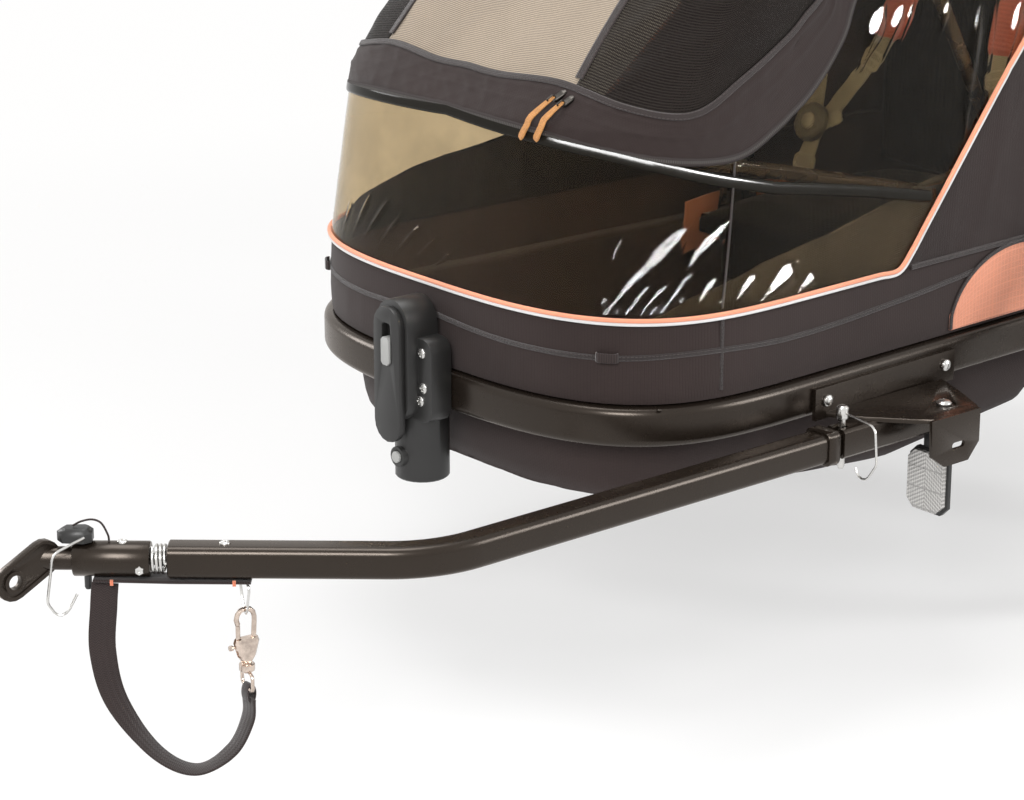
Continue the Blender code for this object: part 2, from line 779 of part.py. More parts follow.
def make_bow(name, end, lane, half, look, curved=False):
    """A tube bow: an eye on the fold axis at each foot, legs that lean in, and a crossbar."""
    reach, angle = bow_frame(end)
    foot = 0.05
    corners = [(lane, 0.0), (lane, foot), (half, reach - (0.19 if curved else BOW_CORNER))]
    if curved:
        depth = 0.19
        arc = []
        for k in range(1, 9):
            turn = pi / 2 * k / 8
            out = (abs(cos(turn)) ** 3 + abs(sin(turn)) ** 3) ** (-1 / 3)
            arc.append((half * out * cos(turn), reach - depth + depth * out * sin(turn)))
        left = corners + arc
        path = [bow_point(x, s, angle) for x, s in left]
        path += [bow_point(-x, s, angle) for x, s in reversed(left[:-1])]
    else:
        corners.append((half, reach))
        path = [bow_point(x, s, angle) for x, s in corners[:2]]
        bar = fillet_path([bow_point(lane, foot, angle), bow_point(half, reach, angle),
                           bow_point(-half, reach, angle), bow_point(-lane, foot, angle)], BOW_CORNER, 3)
        path = path[:1] + bar + [bow_point(-lane, 0.0, angle)]
    pivot = (0.0, FOLD_Y, FOLD_Z)
    up = Vector((0, -sin(angle), cos(angle)))
    bow = sweep(name, path, round_section(BOW_TUBE / 2), look, pivot, up)
    for side in (-1, 1):
        wide = BOW_TUBE / 2 - 0.0003
        eye = lathe(f"{name}_eye_{side}", [(BOW_EYE / 2, -wide), (BOW_EYE / 2, wide)],
                    (side * lane, FOLD_Y, FOLD_Z), (1, 0, 0), None, segments=16)
        join(bow, eye)
    for side in (-1, 1):
        bore = lathe(f"{name}_bore_{side}", [(FOLD_PIN / 2 + PIN_PLAY, -0.02),
                                             (FOLD_PIN / 2 + PIN_PLAY, 0.02)],
                     (side * lane, FOLD_Y, FOLD_Z), (1, 0, 0), None, segments=12)
        cut(bow, bore)
    return bow


def make_bows(looks):
    make_bow("nose_bow", NOSE_BOW_END, BOW_LANE, NOSE_BOW_HALF, looks["frame"], curved=True)
    main = make_bow("main_bow", MAIN_BOW_END, BOW_LANE - BOW_PITCH, MAIN_BOW_HALF, looks["frame"])
    make_bow("roof_bow", ROOF_BOW_END, BOW_LANE - 2 * BOW_PITCH, ROOF_BOW_HALF, looks["frame"])
    reach, angle = bow_frame(MAIN_BOW_END)
    start_y = bow_point(0, (PUSH_PIVOT_Z - FOLD_Z) / sin(angle), angle).y
    for side in (-1, 1):
        outline = [(start_y, PUSH_PIVOT_Z - 0.012), (PUSH_PIVOT_Y, PUSH_PIVOT_Z - 0.012)]
        outline += [(PUSH_PIVOT_Y + 0.012 * sin(pi * k / 6), PUSH_PIVOT_Z - 0.012 * cos(pi * k / 6))
                    for k in range(1, 6)]
        outline += [(PUSH_PIVOT_Y, PUSH_PIVOT_Z + 0.012), (start_y, PUSH_PIVOT_Z + 0.012)]
        near = side * (PUSH_HALF - 0.005)
        arm = prism(f"push_arm_{side}", outline, near, near + side * 0.010, "YZ", None)
        foot = prism(f"push_foot_{side}",
                     shifted(box_section(0.024, 0.024, 0.006, 1), start_y, PUSH_PIVOT_Z),
                     near, side * (MAIN_BOW_HALF + 0.004), "YZ", None)
        join(main, arm, foot)
    for side in (-1, 1):
        bore = lathe(f"push_bore_{side}", [(0.0044, -0.02), (0.0044, 0.02)],
                     (side * PUSH_HALF, PUSH_PIVOT_Y, PUSH_PIVOT_Z), (1, 0, 0), None, segments=12)
        cut(main, bore)


def make_pivot_plates(look):
    """A plate on the hoop at each side, with the pin that carries the three bow feet."""
    inner = BOW_LANE - 2 * BOW_PITCH - BOW_TUBE / 2 - 0.0035
    for side, word in ((1, "left"), (-1, "right")):
        outline = [(FOLD_Y - 0.032, HOOP_TALL + 2 * GAP + CLOTH),
                   (FOLD_Y + 0.032, HOOP_TALL + 2 * GAP + CLOTH),
                   (FOLD_Y + 0.030, 0.065)]
        outline += [(FOLD_Y + 0.020 * cos(pi * k / 6), FOLD_Z + 0.020 * sin(pi * k / 6)) for k in range(7)]
        outline += [(FOLD_Y - 0.030, 0.065)]
        near = side * (inner - 0.006)
        plate = prism(f"pivot_plate_{word}", outline, near, side * inner, "YZ", look)
        base = prism(f"plate_foot_{word}",
                     [(FOLD_Y - 0.032, HOOP_TALL + 2 * GAP + CLOTH),
                      (FOLD_Y + 0.032, HOOP_TALL + 2 * GAP + CLOTH),
                      (FOLD_Y + 0.032, 0.052), (FOLD_Y - 0.032, 0.052)],
                     near, side * (BOW_LANE + 0.010), "YZ", None)
        pin = lathe(f"fold_pin_{word}", [(FOLD_PIN / 2, 0.0),
                                         (FOLD_PIN / 2, BOW_LANE + 0.0105 - inner + 0.003)],
                    (side * (inner - 0.003), FOLD_Y, FOLD_Z), (side, 0, 0), None, segments=12)
        join(plate, base, pin)


def make_push_bar(looks):
    pivot = Vector((0, PUSH_PIVOT_Y, PUSH_PIVOT_Z))
    along = Vector((0, cos(PUSH_ANGLE), sin(PUSH_ANGLE)))
    lane = PUSH_HALF - 0.005 - PUSH_TUBE / 2 - 0.001
    foot = [Vector((side * lane, 0, 0)) + pivot for side in (1, -1)]
    tip = [point + along * PUSH_REACH for point in foot]
    path = fillet_path([foot[0], tip[0], tip[1], foot[1]], 0.05, 4)
    bar = sweep("push_bar", path, round_section(PUSH_TUBE / 2), looks["frame"], pivot,
                Vector((0, -sin(PUSH_ANGLE), cos(PUSH_ANGLE))))
    for side in (-1, 1):
        hub = lathe(f"push_hub_{side}", [(0.013, -PUSH_TUBE / 2), (0.013, PUSH_TUBE / 2)],
                    (side * lane, pivot.y, pivot.z), (1, 0, 0), None, segments=16)
        pin = lathe(f"push_pin_{side}", [(0.004, 0.0), (0.004, 0.022)],
                    (side * (lane + 0.004), pivot.y, pivot.z), (side, 0, 0), None, segments=12)
        join(bar, hub, pin)
    middle = pivot + along * PUSH_REACH
    lathe("push_grip", [(PUSH_TUBE / 2 + GAP, -PUSH_GRIP_LONG / 2), (PUSH_GRIP / 2, -PUSH_GRIP_LONG / 2),
                        (PUSH_GRIP / 2, PUSH_GRIP_LONG / 2), (PUSH_TUBE / 2 + GAP, PUSH_GRIP_LONG / 2)],
          middle, (1, 0, 0), looks["foam"], pivot, closed=True, segments=16)


# Wheels

def make_wheel(word, side, looks):
    centre = (side * WHEEL_X, WHEEL_Y, WHEEL_Z)
    axis = (side, 0, 0)
    bore = AXLE / 2 + PIN_PLAY
    half = HUB_HALF
    hub = lathe(f"wheel_{word}",
                [(bore, -half), (HUB_BARREL - 0.003, -half), (HUB_BARREL, -half + 0.006),
                 (HUB_BARREL, -0.028),
                 (HUB_FLANGE, -0.026), (HUB_FLANGE, -0.023), (HUB_BARREL, -0.020), (HUB_BARREL, 0.020),
                 (HUB_FLANGE, 0.023), (HUB_FLANGE, 0.026), (HUB_BARREL, 0.028), (HUB_BARREL, half - 0.006),
                 (HUB_BARREL - 0.003, half), (bore, half)],
                centre, axis, looks["alloy"], closed=True, segments=12)
    rim = lathe(f"rim_{word}",
                [(RIM_RADIUS - RIM_DEEP, 0.0), (RIM_RADIUS - RIM_DEEP + 0.004, RIM_WIDE / 2 - 0.003),
                 (RIM_RADIUS, RIM_WIDE / 2), (RIM_RADIUS - 0.003, 0.0), (RIM_RADIUS, -RIM_WIDE / 2),
                 (RIM_RADIUS - RIM_DEEP + 0.004, -RIM_WIDE / 2 + 0.003)],
                centre, axis, None, closed=True)
    vertices, faces = [], []
    for k in range(SPOKES):
        angle = 2 * pi * k / SPOKES
        out = Vector((0, cos(angle), sin(angle)))
        flange = 0.0245 if k % 2 else -0.0245
        start = Vector(centre) + out * (HUB_FLANGE - 0.004) + Vector((flange, 0, 0))
        end = Vector(centre) + out * (RIM_RADIUS - RIM_DEEP + 0.003)
        rings = sweep_points([start, end], round_section(SPOKE / 2, 4), Vector((1, 0, 0)))
        points, quads = skin(rings)
        base = len(vertices)
        vertices += points
        faces += [tuple(base + i for i in face) for face in quads]
    spokes = place(f"spokes_{word}", vertices, faces, None, centre)
    join(hub, rim, spokes)
    inner = RIM_RADIUS + GAP
    wide = TYRE_WIDE / 2
    lathe(f"tyre_{word}",
          [(inner, -TYRE_BEAD), (inner + 0.016, -wide), (WHEEL_RADIUS - 0.010, -wide * 0.80),
           (WHEEL_RADIUS, -wide * 0.34), (WHEEL_RADIUS, wide * 0.34), (WHEEL_RADIUS - 0.010, wide * 0.80),
           (inner + 0.016, wide), (inner, TYRE_BEAD)],
          centre, axis, looks["rubber"], closed=True)
    cap = WHEEL_X + HUB_HALF + GAP
    axle = lathe(f"axle_{word}",
                 [(AXLE / 2, BEAM_HALF - 0.055), (AXLE / 2, cap), (AXLE_CAP, cap),
                  (AXLE_CAP - 0.001, cap + 0.004)],
                 (0, WHEEL_Y, WHEEL_Z), axis, looks["steel"], centre, segments=16)
    well = lathe(f"button_well_{word}", [(HUB_BUTTON / 2 + PIN_PLAY, cap - 0.003),
                                         (HUB_BUTTON / 2 + PIN_PLAY, cap + 0.01)],
                 (0, WHEEL_Y, WHEEL_Z), axis, None, segments=16)
    cut(axle, well)
    rest = cap - 0.003 + HUB_BUTTON_TRAVEL + GAP
    lathe(f"hub_button_{word}", [(HUB_BUTTON / 2, rest), (HUB_BUTTON / 2, rest + 0.005)],
          (0, WHEEL_Y, WHEEL_Z), axis, looks["grey"], (side * rest, WHEEL_Y, WHEEL_Z), segments=16)


# Tow arm, flex joint and hitch

ARM_VERTEX = Vector((ARM_X, ARM_BEND_Y, ARM_Z))
ARM_DIRECTION = Vector((-sin(ARM_BEND_ANGLE), -cos(ARM_BEND_ANGLE), 0))
ARM_SIDE = Vector((cos(ARM_BEND_ANGLE), -sin(ARM_BEND_ANGLE), 0))


def arm_point(s, out=0.0, z=ARM_Z):
    """A point of the slanted front run: distance from the bend, offset to the outer side, height."""
    point = ARM_VERTEX + ARM_DIRECTION * s + ARM_SIDE * out
    return Vector((point.x, point.y, z))


def make_tow_tube(look):
    path = fillet_path([(ARM_X, ARM_REAR_Y, ARM_Z), ARM_VERTEX, arm_point(ARM_LENGTH)], ARM_BEND_RADIUS, 7)
    tube = sweep("tow_tube", path, box_section(ARM_TUBE, ARM_TUBE, ARM_EDGE, 3), look)
    collar = prism("tow_collar", shifted(box_section(COLLAR, COLLAR, 0.007), ARM_X, ARM_Z),
                   ARM_REAR_Y - 0.004, ARM_REAR_Y + COLLAR_LONG - 0.002, "XZ", None)
    tongue = prism("tow_tongue", shifted(box_section(TONGUE_WIDE, TONGUE_TALL, 0.003, 1), ARM_X, ARM_Z),
                   ARM_REAR_Y, TONGUE_END_Y, "XZ", None)
    hole = lathe("lock_hole", [(LOCK_PIN / 2 + PIN_PLAY, -0.03), (LOCK_PIN / 2 + PIN_PLAY, 0.03)],
                 (ARM_X, LOCK_PIN_Y, ARM_Z), (0, 0, 1), None, segments=16)
    join(tube, collar, tongue)
    cut(tube, hole, spring_seat("tow_spring_seat", ARM_LENGTH, 0.0, -1))


def receiver_size():
    wide = TONGUE_WIDE + 2 * (PIN_PLAY + RECEIVER_WALL)
    tall = TONGUE_TALL + 2 * (PIN_PLAY + RECEIVER_WALL)
    return wide, tall


def rail_x(y):
    """Outer face of the hoop's left side at this Y."""
    return HOOP_HALF_WIDTH - tan(HOOP_SIDE_TAPER) * (y - HOOP_FRONT_DEPTH)


def make_bracket(looks):
    """Receiver on the left rail: a channel for the tongue, a cover plate, a folded wall and a tab."""
    wide, tall = receiver_size()
    front, rear = RECEIVER_FRONT_Y, RECEIVER_REAR_Y
    bracket = prism("hinge_bracket", shifted(box_section(wide, tall, 0.003, 1), ARM_X, ARM_Z), front, rear,
                    "XZ",
                    looks["frame"])
    top = BRACKET_TOP
    low = top - BRACKET_PLATE
    inner = BRACKET_INNER_X - 0.001
    outline = [(inner, front + 0.02), (ARM_X + 0.002, front + 0.04), (0.380, 0.345),
               (BRACKET_OUTER_X, 0.363),
               (BRACKET_OUTER_X, 0.421), (0.388, 0.428), (0.340, 0.452), (inner, 0.468)]
    plate = prism("bracket_plate", outline, low, top, "XY", None)
    wall_outline = [(0.350, top), (0.363, top), (0.424, top), (0.424, -0.032), (0.408, BRACKET_WALL_LOW),
                    (0.372, BRACKET_WALL_LOW), (0.352, -0.036)]
    wall = prism("bracket_wall", wall_outline, BRACKET_OUTER_X - 0.004, BRACKET_OUTER_X, "YZ", None)
    slot = prism("drain_slot", shifted(slot_section(0.006, 0.0035), -0.030, 0.392), 0.38, 0.41, "YZ", None)
    for v in slot.data.vertices:
        v.co.y, v.co.z = v.co.z, v.co.y
    slot.data.flip_normals()
    tab_low = -0.003
    tab = [Vector((rail_x(y) + GAP + out, y, z)) for y in (front + 0.004, 0.492)
           for out, z in ((0.0, tab_low), (0.0045, tab_low), (0.0045, 0.031), (0.0, 0.031))]
    vertices, faces = skin([tab[:4], tab[4:]])
    rail_tab = place("bracket_tab", vertices, faces, None)
    ledge = prism("bracket_ledge", [(0.272, 0.30), (0.31, 0.30), (0.31, 0.465), (0.272, 0.465)],
                  -0.0045, -GAP, "XY", None)
    join(bracket, plate, wall, rail_tab, ledge)
    channel = prism("receiver_bore", shifted(box_section(wide - 2 * RECEIVER_WALL,
                                                         tall - 2 * RECEIVER_WALL, 0.002, 1),
                                             ARM_X, ARM_Z), front - 0.01, TONGUE_END_Y + GAP, "XZ", None)
    notch_half = LOCK_PIN / 2 + 0.001
    notch = prism("pin_notch", [(ARM_X - notch_half, front - 0.01), (ARM_X + notch_half, front - 0.01),
                                (ARM_X + notch_half, LOCK_PIN_Y + notch_half),
                                (ARM_X - notch_half, LOCK_PIN_Y + notch_half)], -0.06, 0.02, "XY", None)
    recess = lathe("bolt_recess", [(0.013, 0.0), (0.013, 0.01)], (0.362, 0.405, top - 0.0015), (0, 0, 1),
                   None,
                   segments=20)
    cut(bracket, channel, notch, recess, slot)
    lathe("pivot_bolt", [(0.0085, 0.0), (0.0085, 0.003), (0.0050, 0.0055)],
          (0.362, 0.405, top - 0.0015 + GAP),
          (0, 0, 1), looks["steel"], segments=16)
    for word, y in (("front", 0.291), ("rear", 0.476)):
        lathe(f"bracket_bolt_{word}", [(0.0065, 0.0), (0.0065, 0.003), (0.0035, 0.0052)],
              (rail_x(y) + 0.0045 + 2 * GAP, y, 0.0165), (1, tan(HOOP_SIDE_TAPER), 0), looks["steel"],
              segments=12)


def make_lock_pin(looks):
    """Vertical lock pin with a grip head, and the wire ring that hangs from it beside the arm."""
    x, y = ARM_X, LOCK_PIN_Y
    r = LOCK_PIN / 2
    lathe("lock_pin", [(r - 0.0012, LOCK_PIN_LOW), (r, LOCK_PIN_LOW + 0.003), (r, BRACKET_TOP + 0.0045),
                       (LOCK_HEAD / 2, BRACKET_TOP + 0.005), (LOCK_HEAD / 2, LOCK_PIN_TOP - 0.002),
                       (0.004, LOCK_PIN_TOP)],
          (x, y, 0), (0, 0, 1), looks["steel"], (x, y, 0.014), segments=16)
    top = 0.014
    tip = x + COLLAR / 2 + WIRE / 2 + RING_CLEAR
    path = fillet_path([(x + LOCK_HEAD / 2 + PIN_PLAY, y, top), (x + 0.046, y, top - 0.004),
                        (x + 0.050, y, -0.030), (tip + 0.0095, y, LOCK_PIN_LOW - 0.014),
                        (tip, y, LOCK_PIN_LOW + 0.006)], 0.010, 4)
    sweep("lock_pin_ring", path, round_section(WIRE / 2, 6), looks["steel"], (x, y, top), Vector((0, 1, 0)))


def spring_radius():
    return (SPRING_OUTER - SPRING_WIRE) / 2


def spring_path():
    """Centreline of the flex spring in the arm's frame: turns, and ends that run straight into seats."""
    radius = spring_radius()
    margin = SPRING_WIRE / 2 + GAP
    start = ARM_LENGTH + margin
    rise = FLEX_LONG - 2 * margin
    steps = int(SPRING_TURNS * 9)
    points = []
    for k in range(steps + 1):
        share = k / steps
        angle = 2 * pi * SPRING_TURNS * share
        points.append((start + rise * share, radius * cos(angle), radius * sin(angle)))
    reach = SPRING_SEAT - GAP
    head = (ARM_LENGTH - reach, *points[0][1:])
    tail = (ARM_LENGTH + FLEX_LONG + reach, *points[-1][1:])
    return [head] + points + [tail]


def spring_seat(name, face, angle, toward):
    """Cutter for the blind hole that takes one end of the spring."""
    origin = arm_point(face - toward * 0.001, spring_radius() * cos(angle),
                       ARM_Z + spring_radius() * sin(angle))
    bore = SPRING_WIRE / 2 + PIN_PLAY
    return lathe(name, [(bore, 0.0), (bore, SPRING_SEAT + 0.001)], origin, ARM_DIRECTION * toward, None,
                 segments=10)


def least_gap(points, wire):
    """The least clear distance between turns that are at least half a turn apart."""
    best = 1.0
    for i, a in enumerate(points):
        for j in range(i + 6, len(points)):
            for share in (0.0, 0.25, 0.5, 0.75):
                b = Vector(points[j]).lerp(Vector(points[min(j + 1, len(points) - 1)]), share)
                best = min(best, (Vector(a) - b).length)
    return best - wire


def make_flex(looks):
    centre = arm_point(ARM_LENGTH + FLEX_LONG / 2)
    radius = FLEX_LONG / 2 - GAP
    ball = [(max(radius * sin(pi * k / 8), 0.0012), -radius * cos(pi * k / 8)) for k in range(9)]
    lathe("flex_core", ball, centre, ARM_DIRECTION, looks["rubber"], segments=12)
    local = spring_path()
    print("flex_spring least gap between turns: %.2f mm" % (least_gap(local, SPRING_WIRE) * 1000))
    points = [arm_point(s, a, ARM_Z + b) for s, a, b in local]
    curve = bpy.data.curves.new("flex_spring", "CURVE")
    curve.dimensions = "3D"
    curve.bevel_depth = SPRING_WIRE / 2
    curve.bevel_resolution = 1
    curve.use_fill_caps = True
    spline = curve.splines.new("POLY")
    spline.points.add(len(points) - 1)
    for slot, point in zip(spline.points, points):
        slot.co = (*(point - centre), 1.0)
    curve.materials.append(looks["steel"])
    spring = bpy.data.objects.new("flex_spring", curve)
    spring.location = centre
    spring.parent = DATUM
    bpy.context.collection.objects.link(spring)


def make_hitch(looks):
    start = ARM_LENGTH + FLEX_LONG
    centre = arm_point(start - FLEX_LONG / 2)
    outer, inner = HITCH_TUBE / 2, STUB / 2 + PIN_PLAY
    tube = lathe("hitch_tube", [(outer - 0.001, start), (outer, start + 0.001),
                                (outer, start + HITCH_TUBE_LONG - 0.001),
                                (outer - 0.001, start + HITCH_TUBE_LONG)],
                 ARM_VERTEX, ARM_DIRECTION, looks["frame"], centre, segments=24)
    socket_end = start + 0.022
    bore = lathe("hitch_socket", [(inner, socket_end), (inner, start + 0.1)], ARM_VERTEX, ARM_DIRECTION,
                 None,
                 segments=20)
    pin_hole = lathe("hitch_pin_hole", [(HITCH_PIN / 2 + PIN_PLAY, -0.05),
                                        (HITCH_PIN / 2 + PIN_PLAY, 0.05)],
                     arm_point(HITCH_PIN_S), (0, 0, 1), None, segments=12)
    seat = spring_seat("hitch_spring_seat", ARM_LENGTH + FLEX_LONG, 2 * pi * SPRING_TURNS, 1)
    cut(tube, bore, pin_hole, seat)
    stub_end = start + HITCH_TUBE_LONG + STUB_LONG
    stub = lathe("hitch_arm", [(STUB / 2, socket_end + GAP), (STUB / 2, stub_end)], ARM_VERTEX,
                 ARM_DIRECTION,
                 looks["frame"], centre, segments=20)
    make_link(stub, arm_point(stub_end))
    tip = lathe("hitch_pin_hole_stub", [(HITCH_PIN / 2 + PIN_PLAY, -0.05),
                                        (HITCH_PIN / 2 + PIN_PLAY, 0.05)],
                arm_point(HITCH_PIN_S), (0, 0, 1), None, segments=12)
    cut(stub, tip)
    make_hitch_pin(looks)


def make_link(stub, end):
    """Flat link with round ends, a raised rim and a bored eye, fixed to the stub's end."""
    link_x = end.x + LINK_ASIDE
    top, hole = (Vector((0, end.y + y, z)) for y, z in (LINK_TOP, LINK_HOLE))
    along = (hole - top).normalized()
    turn = atan2(along.z, along.y)
    half = (hole - top).length / 2
    middle = (top + hole) / 2

    def turned(section):
        result = []
        for a, b in section:
            y = b * cos(turn) - a * sin(turn)
            z = b * sin(turn) + a * cos(turn)
            result.append((middle.y + y, middle.z + z))
        return result

    near, far = link_x - LINK_THICK / 2, link_x + LINK_THICK / 2
    plate = prism("link_plate", turned(slot_section(half + 0.002, LINK_WIDE / 2)), near, far, "YZ", None)
    dish = prism("link_dish", turned(slot_section(half + 0.002, LINK_WIDE / 2 - LINK_RIM)),
                 far - 0.0015, far + 0.01, "YZ", None)
    boss = lathe("link_boss", [(LINK_BORE / 2 + LINK_RIM, near + 0.001 - link_x),
                               (LINK_BORE / 2 + LINK_RIM, LINK_THICK / 2 + 0.0005)],
                 (link_x, hole.y, hole.z), (1, 0, 0), None, segments=20)
    bore = lathe("link_bore", [(LINK_BORE / 2, -0.02), (LINK_BORE / 2, 0.02)],
                 (link_x, hole.y, hole.z), (1, 0, 0), None, segments=20)
    cut(plate, dish)
    join(plate, boss)
    join(stub, plate)
    cut(stub, bore)


def make_hitch_pin(looks):
    x, y, _ = arm_point(HITCH_PIN_S)
    r = HITCH_PIN / 2
    top = ARM_Z + HITCH_TUBE / 2
    head = top + 0.012
    pin = lathe("hitch_pin", [(r - 0.001, HITCH_PIN_LOW), (r, HITCH_PIN_LOW + 0.002), (r, top + 0.003),
                              (0.005, top + 0.003), (0.005, head)],
                (x, y, 0), (0, 0, 1), looks["plastic"], (x, y, 0.008), segments=12)
    cap = [arm_point(HITCH_PIN_S + 0.011 + a, b, 0) for a, b in
           ((-0.017, -0.007), (-0.012, -0.011), (0.012, -0.009), (0.016, 0.0), (0.010, 0.009),
            (-0.010, 0.011),
            (-0.017, 0.006))]
    low, high = top + 0.001, top + 0.014
    rings = [[Vector((p.x, p.y, z)) for p in cap] for z in (low, high - 0.004)]
    middle = sum((Vector((p.x, p.y, 0)) for p in cap), Vector()) / len(cap)
    rings.append([Vector((middle.x + (p.x - middle.x) * 0.7, middle.y + (p.y - middle.y) * 0.7,
                          high)) for p in cap])
    vertices, faces = skin(rings)
    join(pin, place("pin_cap", vertices, faces, None))
    ring_z = top + 0.008
    start = arm_point(HITCH_PIN_S, 0.0125, ring_z)
    beside = HITCH_TUBE / 2 + WIRE / 2 + RING_CLEAR
    tip_y = start.y - (beside - 0.0125) / sin(ARM_BEND_ANGLE)
    path = fillet_path([start] + [Vector((start.x, y, z)) for y, z in
                                  ((y - 0.042, ring_z - 0.008), (y - 0.050, -0.045),
                                   (tip_y - 0.017, HITCH_PIN_LOW - 0.022),
                                   (tip_y, HITCH_PIN_LOW + 0.002))], 0.010, 4)
    sweep("hitch_pin_ring", path, round_section(WIRE / 2, 6), looks["steel"], start, Vector((1, 0, 0)))
    lanyard = [arm_point(HITCH_PIN_S + s, out, z) for s, out, z in
               ((0.012, 0.0, high + LANYARD / 2 + GAP), (0.004, 0.0, high + 0.0055),
                (-0.006, -0.001, high + 0.007),
                (-0.014, -0.002, high + 0.003), (-0.0195, -0.002, top + 0.006),
                (-0.0204, -0.002, top + GAP))]
    sweep("hitch_lanyard", smooth_route(lanyard, 14), round_section(LANYARD / 2, 6), looks["web"],
          up=Vector((0.3, 0.2, 1)))


def smooth_route(points, count):
    """Evenly shared points of a smooth curve through the given ones."""
    points = [Vector(p) for p in points]
    ends = [points[0] * 2 - points[1]] + points + [points[-1] * 2 - points[-2]]
    dense = []
    for a, b, c, d in zip(ends, ends[1:], ends[2:], ends[3:]):
        for k in range(12):
            t = k / 12
            dense.append(0.5 * ((2 * b) + (c - a) * t + (2 * a - 5 * b + 4 * c - d) * t * t
                                + (3 * b - a - 3 * c + d) * t ** 3))
    dense.append(points[-1])
    lengths = [0.0]
    for a, b in zip(dense, dense[1:]):
        lengths.append(lengths[-1] + (b - a).length)
    route = []
    place_at = 0
    for k in range(count + 1):
        want = lengths[-1] * k / count
        while place_at < len(dense) - 2 and lengths[place_at + 1] < want:
            place_at += 1
        span = lengths[place_at + 1] - lengths[place_at]
        route.append(dense[place_at].lerp(dense[place_at + 1], (want - lengths[place_at]) / span))
    return route


# Safety strap and snap hook

# Distance from the arm's end, distance to the outer side, and height of each point of the strap
STRAP_ROUTE = [(0.0587, 0.004, -0.0385), (0.0602, 0.008, -0.060), (0.0622, 0.012, -0.104),
               (0.0507, 0.014, -0.153), (0.0159, 0.013, -0.204), (-0.0206, 0.010, -0.223),
               (-0.0533, 0.005, -0.205), (-0.0688, 0.001, -0.175), (-0.0703, 0.0, -0.1525)]


def strap_low():
    """Underside of the webbing that runs below the hitch tube and the tow tube."""
    return ARM_Z - HITCH_TUBE / 2 - GAP - WEBBING_THICK - STRAP_SAG


def strap_twist(share):
    """The webbing starts edge-on to the arm and turns its face to the hook."""
    return radians(8 + 70 * share ** 2)


def make_straps(looks):
    section = box_section(WEBBING_THICK, WEBBING, 0.0008, 1)
    low = ARM_Z - HITCH_TUBE / 2 - GAP
    path = [arm_point(ARM_LENGTH + STRAP_END_S - STRAP_END_LONG * k / 8, 0.0,
                      low - WEBBING_THICK / 2 - STRAP_SAG * min(1, k / 4)) for k in range(9)]
    sweep("tow_strap_end", path, box_section(WEBBING, WEBBING_THICK, 0.0008, 1), looks["web"])
    route = smooth_route([arm_point(ARM_LENGTH + s, out, z) for s, out, z in STRAP_ROUTE], 30)
    sweep("safety_strap", route, section, looks["web"], up=ARM_DIRECTION, twist=strap_twist)


